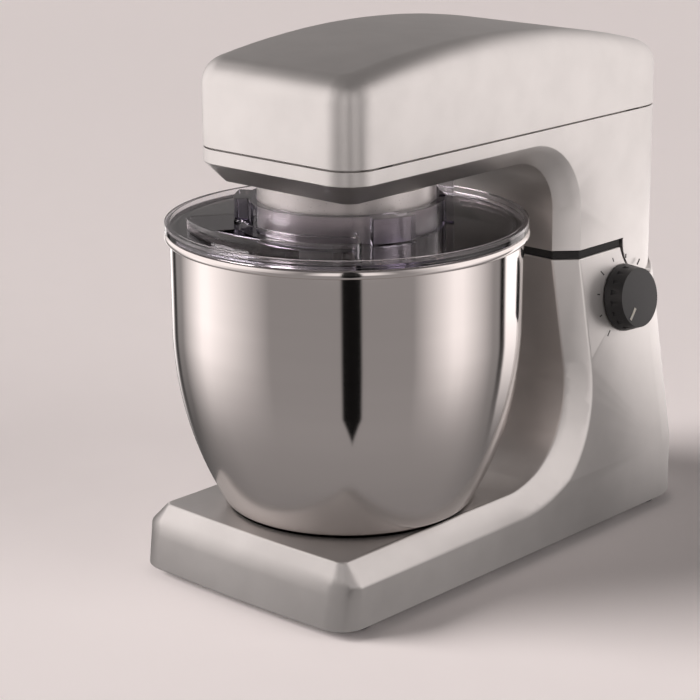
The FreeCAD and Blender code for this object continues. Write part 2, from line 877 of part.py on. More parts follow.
def terminal_block():
    length, width, height = terminal_size
    block = box(-length / 2, length / 2, terminal_place - width / 2, terminal_place + width / 2,
                plate_top, plate_top + height)
    holes = [
        upright(terminal_hole_radius, plate_top + height / 2, plate_top + height + 1, x, terminal_place)
        for x in (-terminal_pitch, 0.0, terminal_pitch)
    ]
    return block.cut(holes)


def knuckle():
    """Round back edge of the head that turns in the pillar's trough, gapped for the ears."""
    half = pillar_width / 2
    barrel = crosswise(knuckle_radius, -half, half, hinge_y, hinge_z)
    plan = [(half, back, back_corner), (-half, back, back_corner), (-half, 0.0, 0.0), (half, 0.0, 0.0)]
    return barrel.common(plan_block(plan, hinge_z - FAR / 8, hinge_z + FAR / 8))


def head_lower_casing():
    parting = parting_height - parting_gap / 2
    below = box(-FAR, FAR, -FAR, FAR, 0.0, parting)
    shell = head_block(0.0).cut(head_block(wall)).common(below)
    solids = [shell, knuckle()]
    for x, y in motor_bolt_places():
        solids.append(upright(cover_boss_radius, head_bottom + wall / 2, motor_low, x, y))
    for x, y in cover_screw_places():
        reach = cover_tab_length / 2 + wall / 2
        solids.append(box(x - reach, x + reach, y - cover_tab_width / 2, y + cover_tab_width / 2,
                          parting - cover_tab_thickness, parting))
    casing = joined(solids)
    holes = [upright(casing_hub_hole, head_underside - 1, gearbox_low + 1)]
    bush_hole = hinge_pin_radius + hinge_bush_wall + fit
    bush_reach = ear_place + ear_thickness / 2 + swing_gap
    holes.append(crosswise(bush_hole, -bush_reach, bush_reach, hinge_y, hinge_z))
    for x0, x1 in ear_zone(swing_gap):
        holes.append(crosswise(trough_radius + wall / 2, x0, x1, hinge_y, hinge_z))
    for x, y in motor_bolt_places():
        holes.append(screw_hole(x, y, motor_low - screw_length, motor_low + 1))
    for x, y in cover_screw_places():
        holes.append(screw_hole(x, y, parting - cover_tab_thickness - 1, parting + 1))
    for index in range(vent_count):
        low = vent_start + index * vent_pitch
        holes.append(box(-vent_length / 2, vent_length / 2, back - wall - 1, back + 1, low, low + vent_height))
    half = keeper_width / 2 + fit
    holes.append(box(latch_x - half, latch_x + half, keeper_place - fit, keeper_place + keeper_thickness + fit,
                     head_bottom - 1, head_bottom + wall + 1))
    return casing.cut(holes)


def head_top_cover():
    parting = parting_height + parting_gap / 2
    above = box(-FAR, FAR, -FAR, FAR, parting, 2 * FAR)
    shell = head_block(0.0).cut(head_block(wall)).common(above)
    lip_inside = head_block(wall + free_gap + lip_wall)
    tongue = head_block(wall + free_gap).cut(lip_inside)
    tongue = tongue.common(box(-FAR, FAR, -FAR, FAR, parting - lip_depth, parting + lip_depth))
    root = head_block(wall / 2).cut(lip_inside)
    root = root.common(box(-FAR, FAR, -FAR, FAR, parting, parting + lip_depth))
    solids = [shell, tongue, root]
    for x, y in cover_screw_places():
        solids.append(upright(cover_boss_radius, parting, crown_height, x, y).common(head_block(wall / 2)))
    cover = joined(solids)
    holes = []
    for x, y in cover_screw_places():
        reach = cover_tab_length / 2 + wall
        holes.append(box(x - reach, x + reach, y - cover_tab_width / 2 - free_gap,
                         y + cover_tab_width / 2 + free_gap, parting - lip_depth - 1, parting))
        holes.append(screw_hole(x, y, parting - 1, parting + screw_length))
    return cover.cut(holes)


def head_cover_screws():
    seat = parting_height - parting_gap / 2 - cover_tab_thickness
    return [screw(x, y, seat, screw_length, True) for x, y in cover_screw_places()]


def hinge_bushes():
    outer = hinge_pin_radius + hinge_bush_wall
    inner_ear = ear_place - ear_thickness / 2 - swing_gap
    bushes = []
    for x0, x1 in ((-inner_ear, -inner_ear + hinge_bush_length), (inner_ear - hinge_bush_length, inner_ear)):
        sleeve = crosswise(outer, x0, x1, hinge_y, hinge_z)
        bushes.append(sleeve.cut(crosswise(hinge_pin_radius + running, x0, x1, hinge_y, hinge_z)))
    return bushes


def hub_skirt():
    return collar(skirt_radius - skirt_wall, skirt_radius, skirt_bottom, head_underside)


def ring_gear():
    ring = upright(skirt_radius - skirt_wall - fit, ring_gear_low, head_underside)
    space = gear(ring_teeth, planet_module, tooth_dedendum, tooth_addendum, -backlash,
                 ring_gear_low - 1, head_underside + 1)
    return ring.cut(turned(space, -90.0))


def gearbox_plan(inset):
    half = gear_room + gearbox_wall - inset
    return [(half, gearbox_back + gearbox_wall - inset, 0.0), (-half, gearbox_back + gearbox_wall - inset, 0.0),
            (-half, -half, 0.0), (half, -half, 0.0)]


def gearbox_housing():
    tub = plan_block(gearbox_plan(0.0), gearbox_low, gearbox_top)
    tub = tub.cut(plan_block(gearbox_plan(gearbox_wall), gearbox_low + gearbox_floor, gearbox_top + 1))
    hub_seat_low = gearbox_low + gearbox_floor / 2
    solids = [tub]
    solids.append(upright(hub_bearing_radius + bearing_seat_wall, gearbox_low, hub_seat_low + hub_bearing_width))
    floor_top = gearbox_low + gearbox_floor
    solids.append(upright(bearing_radius + bearing_seat_wall, gearbox_low, floor_top + bearing_width,
                          0.0, intermediate_y))
    for x, y in gearbox_screw_places():
        solids.append(upright(gearbox_post_radius, gearbox_low, gearbox_top, x, y))
    housing = joined(solids)
    holes = [
        upright(hub_bearing_radius + fit, hub_seat_low, gearbox_top),
        upright(casing_hub_hole, gearbox_low - 1, gearbox_top),
        upright(bearing_radius + fit, floor_top, gearbox_top, 0.0, intermediate_y),
    ]
    holes += [screw_hole(x, y, gearbox_top - screw_length, gearbox_top + 1) for x, y in gearbox_screw_places()]
    return housing.cut(holes)


def gearbox_cover():
    plate = plan_block(gearbox_plan(0.0), gearbox_top, cover_plate_top)
    hub_boss = upright(hub_bearing_radius + bearing_seat_wall, gearbox_top, gearbox_top + hub_bearing_width)
    shaft_boss = upright(bearing_radius + bearing_seat_wall, gearbox_top, cover_plate_top + bearing_width / 2,
                         0.0, intermediate_y)
    cover = joined([plate, hub_boss, shaft_boss])
    holes = [
        upright(hub_bearing_radius + fit, gearbox_top - 1, gearbox_top + hub_bearing_width + 1),
        upright(bearing_radius + fit, gearbox_top - 1, cover_plate_top + bearing_width + 1, 0.0, intermediate_y),
    ]
    holes += [screw_hole(x, y, gearbox_top - 1, cover_plate_top + 1) for x, y in gearbox_screw_places()]
    return cover.cut(holes)


def gearbox_screws():
    return [screw(x, y, cover_plate_top, screw_length, False) for x, y in gearbox_screw_places()]


def hub_bearing_lows():
    return (gearbox_low + gearbox_floor / 2, gearbox_top)


def hub_bearings():
    return [collar(hub_shaft_radius + running, hub_bearing_radius, low, low + hub_bearing_width)
            for low in hub_bearing_lows()]


def intermediate_bearings():
    lows = (gearbox_low + gearbox_floor, cover_plate_top - bearing_width / 2)
    return [collar(shaft_radius + running, bearing_radius, low, low + bearing_width, 0.0, intermediate_y)
            for low in lows]


def motor_plan(half, corner):
    return [(half, motor_y + half, corner), (-half, motor_y + half, corner),
            (-half, motor_y - half, corner), (half, motor_y - half, corner)]


def coil_blocks(clearance, low, high):
    blocks = []
    for bearing in (0.0, 180.0):
        block = sector(stator_bore + 1 - clearance, coil_outer_radius + clearance,
                       bearing - coil_half_angle, bearing + coil_half_angle, low, high)
        block.translate(V(0, motor_y, 0))
        blocks.append(block)
    return blocks


def motor_stator():
    core = plan_block(motor_plan(motor_size / 2, motor_corner), stator_low, stator_top)
    holes = [upright(stator_bore, stator_low - 1, stator_top + 1, 0.0, motor_y)]
    holes += coil_blocks(fit, stator_low - 1, stator_top + 1)
    holes += [screw_hole(x, y, stator_low - 1, stator_top + 1) for x, y in motor_bolt_places()]
    return core.cut(holes)


def field_coils():
    return coil_blocks(0.0, stator_low - coil_overhang, stator_top + coil_overhang)


def motor_bracket(plate_bottom, sleeve_end, bearing_low):
    """Cross-shaped end bracket: four arms to the bolts, their spacer sleeves and a bearing cup."""
    plate_edge = plate_bottom + bracket_thickness
    reach = motor_bolt * math.sqrt(2) + bracket_arm / 4
    arms = []
    for bearing in (45.0, 135.0):
        arm = box(-reach, reach, -bracket_arm / 2, bracket_arm / 2, plate_bottom, plate_edge)
        arm = turned(arm, bearing)
        arm.translate(V(0, motor_y, 0))
        arms.append(arm)
    cup = upright(bearing_radius + bearing_seat_wall, bearing_low, bearing_low + bearing_width, 0.0, motor_y)
    spacer_low, spacer_high = min(plate_edge, sleeve_end), max(plate_bottom, sleeve_end)
    sleeves = [upright(cover_boss_radius, spacer_low, spacer_high, x, y) for x, y in motor_bolt_places()]
    bracket = joined(arms + [cup] + sleeves)
    holes = [upright(bearing_radius + fit, bearing_low - FAR / 8, bearing_low + FAR / 8, 0.0, motor_y)]
    holes += [screw_hole(x, y, spacer_low - FAR / 8, spacer_high + FAR / 8) for x, y in motor_bolt_places()]
    return bracket.cut(holes)


def brush_level():
    return motor_low + bracket_thickness + commutator_lift + commutator_height / 2


def brush_boxes(clearance, inner, outer):
    half = brush_width / 2 + clearance
    level = brush_level()
    boxes = []
    for x0, x1 in ((inner, outer), (-outer, -inner)):
        boxes.append(box(x0, x1, motor_y - half, motor_y + half, level - half, level + half))
    return boxes


def motor_bottom_bracket():
    bracket = motor_bracket(motor_low, stator_low, motor_low)
    inner = commutator_radius + free_gap + brush_length / 3
    outer = inner + brush_arm
    half = brush_width / 2 + bracket_thickness / 2
    solids = [bracket]
    for side in (-1, 1):
        x0, x1 = sorted((side * inner, side * outer))
        solids.append(box(x0, x1, motor_y - half, motor_y + half, motor_low, brush_level() + half))
    x_reach = outer - 1
    solids.append(box(-x_reach, x_reach, motor_y - half, motor_y + half, motor_low, motor_low + bracket_thickness))
    bracket = joined(solids)
    holes = brush_boxes(fit, 0.0, outer + 1)
    holes.append(upright(bearing_radius + fit, motor_low - 1, motor_low + bearing_width + 1, 0.0, motor_y))
    return bracket.cut(holes)


def motor_top_bracket():
    return motor_bracket(motor_top, stator_top, motor_top)


def motor_bearings():
    return [collar(shaft_radius + running, bearing_radius, low, low + bearing_width, 0.0, motor_y)
            for low in (motor_low, motor_top)]


def carbon_brushes():
    inner = commutator_radius + free_gap
    return brush_boxes(0.0, inner, inner + brush_length)


def motor_bolts():
    low = motor_low - screw_length
    return [screw(x, y, motor_top + bracket_thickness, motor_top + bracket_thickness - low, False)
            for x, y in motor_bolt_places()]


def loop_block(radius_front, radius_back, low, high):
    """Solid bounded by the two pulleys' circles and their outer tangents."""
    lean = math.asin((radius_front - radius_back) / belt_distance)
    side_x, side_y = math.cos(lean), math.sin(lean)
    y_front, y_back = intermediate_y, motor_y
    right_front = V(radius_front * side_x, y_front + radius_front * side_y, low)
    right_back = V(radius_back * side_x, y_back + radius_back * side_y, low)
    left_front = V(-right_front.x, right_front.y, low)
    left_back = V(-right_back.x, right_back.y, low)
    edges = [
        Part.Arc(left_front, V(0, y_front - radius_front, low), right_front).toShape(),
        Part.LineSegment(right_front, right_back).toShape(),
        Part.Arc(right_back, V(0, y_back + radius_back, low), left_back).toShape(),
        Part.LineSegment(left_back, left_front).toShape(),
    ]
    return Part.Face(Part.Wire(edges)).extrude(V(0, 0, high - low))


def drive_belt():
    low = pulley_low + (pulley_height - belt_width) / 2
    high = low + belt_width
    inner_front, inner_back = driven_pulley_radius + free_gap, motor_pulley_radius + free_gap
    outer = loop_block(inner_front + belt_thickness, inner_back + belt_thickness, low, high)
    return outer.cut(loop_block(inner_front, inner_back, low, high))


def pulley(radius, y):
    """Belt pulley with a flange at each end, on its shaft."""
    rim = radius + pulley_rim
    solids = [upright(radius, pulley_low, pulley_top, 0.0, y)]
    solids.append(upright(rim, pulley_low, pulley_low + pulley_flange, 0.0, y))
    solids.append(upright(rim, pulley_top - pulley_flange, pulley_top, 0.0, y))
    return joined(solids).cut(upright(shaft_radius + fit, pulley_low - 1, pulley_top + 1, 0.0, y))


def splash_guard():
    """Clear lid on the bowl: rim, plate, collar round the hub skirt, clip tabs and an open feed chute."""
    rim_low = guard_bottom
    plate = upright(guard_radius, rim_low, guard_top)
    rim = collar(guard_radius - guard_rim_wall, guard_radius, rim_low, rim_low + guard_rim_height)
    lip = collar(guard_lip_radius - guard_lip_wall, guard_lip_radius, rim_low - guard_lip_depth, guard_top)
    ring = upright(collar_outer, rim_low, guard_top + collar_height)
    forward = -90.0 + guard_turn
    chute_from, chute_to = forward - chute_half_angle, forward + chute_half_angle
    outer_edge = chute_outer - chute_wall
    inner_edge = chute_inner + chute_wall
    pad = math.degrees(chute_wall / chute_outer)
    walls = sector(chute_inner, chute_outer, chute_from, chute_to, rim_low, guard_top + chute_height, chute_corner)
    low_part = upright(chute_inner + 2 * chute_wall, guard_top + chute_inner_height,
                       guard_top + chute_height + 1)
    walls = walls.cut(low_part)
    opening = sector(inner_edge, outer_edge, chute_from + pad, chute_to - pad,
                     rim_low - guard_lip_depth, guard_top + 2 * chute_height, chute_corner - chute_wall)
    solids = [plate, rim, lip, ring, walls]
    clip_top = head_underside - free_gap
    for side in (-1, 1):
        start, end = sorted((forward + side * block_from, forward + side * block_to))
        solids.append(sector(collar_inner + 1, collar_outer + block_reach, start, end,
                             rim_low, guard_top + collar_height))
        start, end = sorted((forward + side * clip_from, forward + side * clip_to))
        solids.append(sector(collar_inner + 1, collar_outer + clip_reach, start, end, rim_low, clip_top))
    guard = joined(solids)
    return guard.cut([opening, upright(collar_inner, rim_low - 1, head_underside)])


def latch_keeper():
    """Plate that hangs from the head through the pillar's top, with a window for the hook's nose."""
    half = keeper_width / 2
    floor = head_bottom + wall
    plate = box(latch_x - half, latch_x + half, keeper_place, keeper_place + keeper_thickness,
                head_bottom - keeper_drop, floor + keeper_thickness)
    foot = box(latch_x - half, latch_x + half, keeper_place, keeper_place + keeper_thickness + keeper_foot,
               floor, floor + keeper_thickness)
    nose_level = latch_height + hook_rise - hook_nose_height / 2
    window = box(latch_x - keeper_window_width / 2, latch_x + keeper_window_width / 2, keeper_place - 1,
                 keeper_place + keeper_thickness + 1, nose_level - keeper_window / 2,
                 nose_level + keeper_window / 2)
    return joined([plate, foot]).cut(window)


def hub_shaft():
    return upright(hub_shaft_radius, carrier_low, gearbox_top + hub_bearing_width + 3 * circlip_thickness)


def hub_carrier():
    """Turning disc under the head: it holds the tool's shaft off the hub's axis."""
    disc = upright(skirt_radius - skirt_wall - carrier_rim_gap, carrier_low, carrier_top)
    boss = upright(tool_boss_radius, carrier_low - tool_boss_drop, carrier_top, 0.0, tool_y)
    carrier = joined([disc, boss])
    return carrier.cut([
        upright(hub_shaft_radius + fit, carrier_low - 1, carrier_top + 1),
        upright(tool_shaft_radius + tool_bush_wall + fit, carrier_low - FAR / 8, carrier_top + 1, 0.0, tool_y),
    ])


def hub_gear():
    wheel = gear(hub_teeth, spur_module, tooth_addendum, tooth_dedendum, backlash,
                 hub_gear_low, hub_gear_low + spur_width)
    bore = upright(hub_shaft_radius + fit, hub_gear_low - 1, hub_gear_low + spur_width + 1)
    return turned(wheel, 90.0).cut(bore)


def hub_circlip():
    low = gearbox_top + hub_bearing_width + fit
    return collar(hub_shaft_radius + fit, hub_shaft_radius + circlip_reach, low, low + circlip_thickness)


def tool_shaft_bushes():
    lows = (carrier_low - tool_boss_drop, carrier_top - tool_bush_length)
    return [collar(tool_shaft_radius + running, tool_shaft_radius + tool_bush_wall, low, low + tool_bush_length,
                   0.0, tool_y) for low in lows]


def tool_shaft():
    shaft = upright(tool_shaft_radius, tool_shaft_end, pinion_top, 0.0, tool_y)
    return shaft.cut(crosswise(cross_pin_radius + fit, -FAR / 8, FAR / 8, tool_y, cross_pin_height))


def planet_pinion():
    low = carrier_top + free_gap
    wheel = gear(planet_teeth, planet_module, tooth_addendum, tooth_dedendum, backlash, low, pinion_top)
    wheel = turned(wheel, -90.0)
    wheel.translate(V(0, tool_y, 0))
    return wheel.cut(upright(tool_shaft_radius + fit, low - 1, pinion_top + 1, 0.0, tool_y))


def tool_cross_pin():
    return crosswise(cross_pin_radius, -cross_pin_length / 2, cross_pin_length / 2, tool_y, cross_pin_height)


def beater_outline(inset):
    """Corners of the flat beater's frame, moved in by inset."""
    belly_level = (beater_top + beater_bottom) / 2
    shoulder_level = (beater_top + belly_level) / 2
    corner = beater_corner - inset
    right = [
        (beater_toe - inset, beater_bottom + inset, corner),
        (beater_belly - inset, belly_level, beater_corner),
        (beater_shoulder - inset, shoulder_level + inset / 2, corner),
        (beater_sleeve_radius, beater_top - inset, 0.0),
    ]
    left = [(-x, z, radius) for x, z, radius in reversed(right)]
    return right + left


def flat_beater():
    """Flat paddle: a frame, a spine, two slanting ribs and a socket for the tool shaft."""
    y0, y1 = tool_y - beater_thickness / 2, tool_y + beater_thickness / 2

    def slab(inset):
        outline = rounded_outline(beater_outline(inset), lambda u, v: V(u, y0, v))
        return Part.Face(outline).extrude(V(0, y1 - y0, 0))

    full = slab(0.0)
    ribs = [box(-beater_rib / 2, beater_rib / 2, y0, y1, beater_bottom, beater_top)]
    middle = (beater_bottom + beater_top) / 2
    for side in (-1, 1):
        for level in (middle - beater_rib * 3, middle + beater_rib * 2):
            rib = box(0.0, beater_belly * 1.5, y0, y1, -beater_rib / 2, beater_rib / 2)
            rib.rotate(V(0, 0, 0), V(0, 1, 0), -30.0)
            if side < 0:
                rib = rib.mirror(V(0, 0, 0), ACROSS)
            rib.translate(V(0, 0, level))
            ribs.append(rib)
    ribs = [rib.common(full) for rib in ribs]
    socket_low = tool_shaft_end - beater_sleeve_floor
    socket = upright(beater_sleeve_radius, socket_low, beater_sleeve_top, 0.0, tool_y)
    paddle = joined([full.cut(slab(beater_rail))] + ribs + [socket])
    return paddle.cut([
        upright(tool_shaft_radius + fit, tool_shaft_end - fit, beater_sleeve_top + 1, 0.0, tool_y),
        crosswise(cross_pin_radius + fit, -FAR / 8, FAR / 8, tool_y, cross_pin_height),
    ])


def intermediate_shaft():
    return upright(shaft_radius, gearbox_low + gearbox_floor + fit, pulley_top, 0.0, intermediate_y)


def intermediate_pinion():
    low = hub_gear_low - pinion_overhang
    high = hub_gear_low + spur_width + pinion_overhang
    wheel = gear(intermediate_teeth, spur_module, tooth_addendum, tooth_dedendum, backlash, low, high)
    wheel = turned(wheel, -90.0 + 180.0 / intermediate_teeth)
    wheel.translate(V(0, intermediate_y, 0))
    return wheel.cut(upright(shaft_radius + fit, low - 1, high + 1, 0.0, intermediate_y))


def motor_shaft():
    return upright(shaft_radius, motor_low, pulley_top, 0.0, motor_y)


def armature_core():
    core = upright(armature_radius, stator_low, stator_top)
    slot = box(armature_radius - slot_depth, armature_radius + 1, -slot_width / 2, slot_width / 2,
               stator_low - 1, stator_top + 1)
    core = core.cut(ring_of(slot, armature_slots))
    core = core.cut(upright(shaft_radius + fit, stator_low - 1, stator_top + 1))
    core.translate(V(0, motor_y, 0))
    return core


def armature_windings():
    lows = (stator_low - winding_height, stator_top)
    return [collar(shaft_radius + fit, winding_radius, low, low + winding_height, 0.0, motor_y) for low in lows]


def commutator():
    low = motor_low + bracket_thickness + commutator_lift
    return collar(shaft_radius + fit, commutator_radius, low, low + commutator_height, 0.0, motor_y)


def cooling_fan():
    high = fan_low + fan_height
    blade = box(fan_hub_radius - 1, fan_radius, -fan_blade / 2, fan_blade / 2, fan_low, high)
    solids = [upright(fan_radius, fan_low, fan_low + fan_disc), upright(fan_hub_radius, fan_low, high)]
    fan = joined(solids + ring_of(blade, fan_blades))
    fan = fan.cut(upright(shaft_radius + fit, fan_low - 1, high + 1))
    fan.translate(V(0, motor_y, 0))
    return fan


def speed_knob():
    body = Part.makeCone(knob_radius, knob_top_radius, knob_depth, V(knob_gap, 0, 0), ACROSS)
    end = knob_gap + knob_depth
    cuts = []
    for index in range(knob_flutes):
        angle = 2 * math.pi * index / knob_flutes
        place = V(knob_gap + knob_depth / 3, knob_radius * math.cos(angle), knob_radius * math.sin(angle))
        cuts.append(Part.makeCylinder(flute_radius, knob_depth, place, ACROSS))
    relief = pot_bush_radius + swing_gap
    cuts.append(Part.makeCylinder(relief, pot_bush_length - wall + swing_gap, V(0, 0, 0), ACROSS))
    cuts.append(Part.makeCylinder(knob_shaft_radius + fit, end - wall, V(0, 0, 0), ACROSS))
    return on_side(body.cut(cuts))


def knob_shaft():
    length = knob_shaft_inside + knob_gap + knob_depth - wall - fit
    return on_side(Part.makeCylinder(knob_shaft_radius, length, V(-knob_shaft_inside, 0, 0), ACROSS))


def lever_face():
    return -(half_width_at(latch_height - lever_hub_radius) + swing_gap)


def lever_shaft():
    end = latch_x + hook_thickness / 2 + free_gap + latch_rib_thickness
    return crosswise(latch_shaft_radius, lever_face() - lever_thickness, end, latch_place, latch_height)


def release_lever():
    x1 = lever_face()
    x0 = x1 - lever_thickness
    tip_y = latch_place - lever_length
    hub = crosswise(lever_hub_radius, x0, x1, latch_place, latch_height)
    tip = crosswise(lever_tip_radius, x0, x1, tip_y, latch_height)
    arm = [(latch_place, latch_height - lever_hub_radius, 0.0), (latch_place, latch_height + lever_hub_radius, 0.0),
           (tip_y, latch_height + lever_tip_radius, 0.0), (tip_y, latch_height - lever_tip_radius, 0.0)]
    lever = joined([hub, tip, side_block(arm, x0, x1)])
    return lever.cut(crosswise(latch_shaft_radius + fit, x0 - 1, x1 + 1, latch_place, latch_height))


def latch_hook():
    x0, x1 = latch_x - hook_thickness / 2, latch_x + hook_thickness / 2
    top = latch_height + hook_rise
    hub = crosswise(hook_hub_radius, x0, x1, latch_place, latch_height)
    arm = box(x0, x1, latch_place - hook_arm, latch_place, latch_height, top)
    tip = keeper_place + keeper_thickness + hook_clearance
    nose = box(x0, x1, tip, latch_place, top - hook_nose_height, top)
    hook = joined([hub, arm, nose])
    return hook.cut(crosswise(latch_shaft_radius + fit, x0 - 1, x1 + 1, latch_place, latch_height))


def bowl_profile(sheet):
    """Half section of the bowl's skin, moved in by sheet, from the rim down to its middle."""
    radius = bowl_radius - sheet
    curve = bowl_curve - sheet
    knuckle_size = bowl_knuckle - sheet
    bottom = bowl_bottom + sheet
    centre_r, centre_z = radius - curve, bowl_straight_from
    knuckle_z = bottom + knuckle_size
    drop = centre_z - knuckle_z
    knuckle_r = centre_r + math.sqrt((curve - knuckle_size) ** 2 - drop ** 2)
    lean = math.atan2(drop, knuckle_r - centre_r)
    meet = (centre_r + curve * math.cos(lean), centre_z - curve * math.sin(lean))
    side_middle = (centre_r + curve * math.cos(lean / 2), centre_z - curve * math.sin(lean / 2))
    turn = (lean + math.pi / 2) / 2
    knuckle_middle = (knuckle_r + knuckle_size * math.cos(turn), knuckle_z - knuckle_size * math.sin(turn))
    return radius, meet, side_middle, knuckle_middle, (knuckle_r, bottom)


def bowl_body(sheet, top):
    """Solid of revolution that the bowl's outside, or inside, would fill up to a height."""
    radius, meet, side_middle, knuckle_middle, flat = bowl_profile(sheet)

    def at(point):
        return V(point[0], 0, point[1])

    start = at((radius, bowl_straight_from))
    edges = [
        Part.LineSegment(at((0, top)), at((radius, top))).toShape(),
        Part.LineSegment(at((radius, top)), start).toShape(),
        Part.Arc(start, at(side_middle), at(meet)).toShape(),
        Part.Arc(at(meet), at(knuckle_middle), at(flat)).toShape(),
        Part.LineSegment(at(flat), at((0, flat[1]))).toShape(),
        Part.LineSegment(at((0, flat[1])), at((0, top))).toShape(),
    ]
    return Part.Face(Part.Wire(edges)).revolve(V(0, 0, 0), UP, 360)


def mixing_bowl():
    skin = bowl_body(0.0, bead_height).cut(bowl_body(bowl_sheet, bead_height + 1))
    bead = Part.makeTorus(bead_circle, bead_radius, V(0, 0, bead_height), UP)
    return joined([skin, bead])


def bowl_foot_ring():
    low = seat_level + seat_floor + free_gap
    ring = collar(foot_ring_radius - foot_ring_wall, foot_ring_radius, low, bowl_bottom)
    tab = sector(foot_ring_radius - foot_ring_wall / 2, foot_ring_radius + tab_reach, -tab_half_angle,
                 tab_half_angle, low, low + tab_thickness)
    return joined([ring] + ring_of(tab, lug_count))


PIECES = {
    "base_casing": base_casing,
    "pillar_casing": pillar_casing,
    "base_plate": base_plate,
    "base_plate_screws": base_plate_screws,
    "rubber_feet": rubber_feet,
    "bowl_seat": bowl_seat,
    "bowl_seat_screws": bowl_seat_screws,
    "hinge_pin": hinge_pin,
    "pillar_gasket": pillar_gasket,
    "speed_control_board": speed_control_board,
    "speed_potentiometer": speed_potentiometer,
    "cord_gland": cord_gland,
    "terminal_block": terminal_block,
    "head_lower_casing": head_lower_casing,
    "head_top_cover": head_top_cover,
    "head_cover_screws": head_cover_screws,
    "hinge_bushes": hinge_bushes,
    "hub_skirt": hub_skirt,
    "ring_gear": ring_gear,
    "gearbox_housing": gearbox_housing,
    "gearbox_cover": gearbox_cover,
    "gearbox_screws": gearbox_screws,
    "hub_bearings": hub_bearings,
    "intermediate_bearings": intermediate_bearings,
    "motor_stator": motor_stator,
    "field_coils": field_coils,
    "motor_bottom_bracket": motor_bottom_bracket,
    "motor_top_bracket": motor_top_bracket,
    "motor_bearings": motor_bearings,
    "carbon_brushes": carbon_brushes,
    "motor_bolts": motor_bolts,
    "drive_belt": drive_belt,
    "splash_guard": splash_guard,
    "latch_keeper": latch_keeper,
    "hub_shaft": hub_shaft,
    "hub_carrier": hub_carrier,
    "hub_gear": hub_gear,
    "hub_circlip": hub_circlip,
    "tool_shaft_bushes": tool_shaft_bushes,
    "tool_shaft": tool_shaft,
    "planet_pinion": planet_pinion,
    "tool_cross_pin": tool_cross_pin,
    "flat_beater": flat_beater,
    "intermediate_shaft": intermediate_shaft,
    "intermediate_pinion": intermediate_pinion,
    "driven_pulley": lambda: pulley(driven_pulley_radius, intermediate_y),
    "motor_shaft": motor_shaft,
    "armature_core": armature_core,
    "armature_windings": armature_windings,
    "commutator": commutator,
    "cooling_fan": cooling_fan,
    "motor_pulley": lambda: pulley(motor_pulley_radius, motor_y),
    "speed_knob": speed_knob,
    "knob_shaft": knob_shaft,
    "release_lever": release_lever,
    "lever_shaft": lever_shaft,
    "latch_hook": latch_hook,
    "mixing_bowl": mixing_bowl,
    "bowl_foot_ring": bowl_foot_ring,
}


def write(name, made):
    solids = made if isinstance(made, list) else made.Solids
    shape = solids[0] if len(solids) == 1 else Part.makeCompound(solids)
    shape.translate(V(0, (bead_circle + bead_radius - back) / 2, 0))
    shape.exportStep("parts/" + name + ".step")
    return shape


def main():
    os.makedirs("parts", exist_ok=True)
    for name, make in PIECES.items():
        shape = write(name, make())
        print(name, len(shape.Solids), "solids", round(shape.Volume), "mm3", "valid", shape.isValid())


main()
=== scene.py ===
"""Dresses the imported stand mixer: softened edges, finishes, small trim, studio and camera."""

import json
import math

import bmesh
import bpy
from bpy.props import FloatProperty, FloatVectorProperty, IntProperty, PointerProperty
from mathutils import Matrix, Vector
from mathutils.bvhtree import BVHTree

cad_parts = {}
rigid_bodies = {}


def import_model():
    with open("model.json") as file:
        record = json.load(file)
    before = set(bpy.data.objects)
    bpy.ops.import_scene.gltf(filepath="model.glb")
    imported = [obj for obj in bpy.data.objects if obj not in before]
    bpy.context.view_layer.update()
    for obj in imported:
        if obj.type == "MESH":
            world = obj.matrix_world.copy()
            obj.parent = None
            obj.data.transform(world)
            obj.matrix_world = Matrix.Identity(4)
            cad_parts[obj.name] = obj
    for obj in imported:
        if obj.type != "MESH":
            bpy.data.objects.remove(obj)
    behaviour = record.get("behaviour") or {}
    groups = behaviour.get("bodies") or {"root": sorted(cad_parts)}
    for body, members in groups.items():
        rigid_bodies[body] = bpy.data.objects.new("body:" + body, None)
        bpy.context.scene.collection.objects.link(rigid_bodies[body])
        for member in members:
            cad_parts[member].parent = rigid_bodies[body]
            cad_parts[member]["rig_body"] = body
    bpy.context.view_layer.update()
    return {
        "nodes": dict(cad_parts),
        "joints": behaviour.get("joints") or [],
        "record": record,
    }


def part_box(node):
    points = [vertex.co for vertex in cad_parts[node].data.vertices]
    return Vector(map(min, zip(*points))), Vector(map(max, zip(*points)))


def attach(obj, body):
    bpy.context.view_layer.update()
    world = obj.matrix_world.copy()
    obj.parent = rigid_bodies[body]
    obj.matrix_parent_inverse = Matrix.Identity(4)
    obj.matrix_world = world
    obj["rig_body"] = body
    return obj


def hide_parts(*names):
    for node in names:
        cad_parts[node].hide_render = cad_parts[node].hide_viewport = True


bl_info = {
    "name": "Stand Mixer Dressing",
    "version": (1, 0, 0),
    "blender": (4, 5, 0),
    "location": "View3D > Sidebar > Mixer",
    "description": "Gives the stand mixer its finishes, soft edges, trim, studio and camera",
    "category": "Object",
}

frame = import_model()
JOINTS = {joint["name"]: joint for joint in frame["joints"]}
SLOTS = {part["node"]: part["material_slot"] for part in frame["record"]["subparts"]}
BODIES = {node: item["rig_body"] for node, item in frame["nodes"].items()}
IMAGE_SIDE = 700
MM = 0.001

# Welding and shading: lengths in metres, angles between faces in degrees.
WELD = 1e-6
JOINT_WELD = 20 * WELD
RAY_LIFT = 0.1 * MM
FLAT = 0.2
SHARP = 30.0
CAST_SHARP = 31.0
RIB_SHARP = 50.0
BEVEL_STEPS = 3

# Steps along the bowl's profile, and round the tent and the floor.
KNUCKLE_STEPS = 14
CURVE_STEPS = 40
WALL_STEPS = 14
BEAD_STEPS = 28
STAGE_STEPS = 96

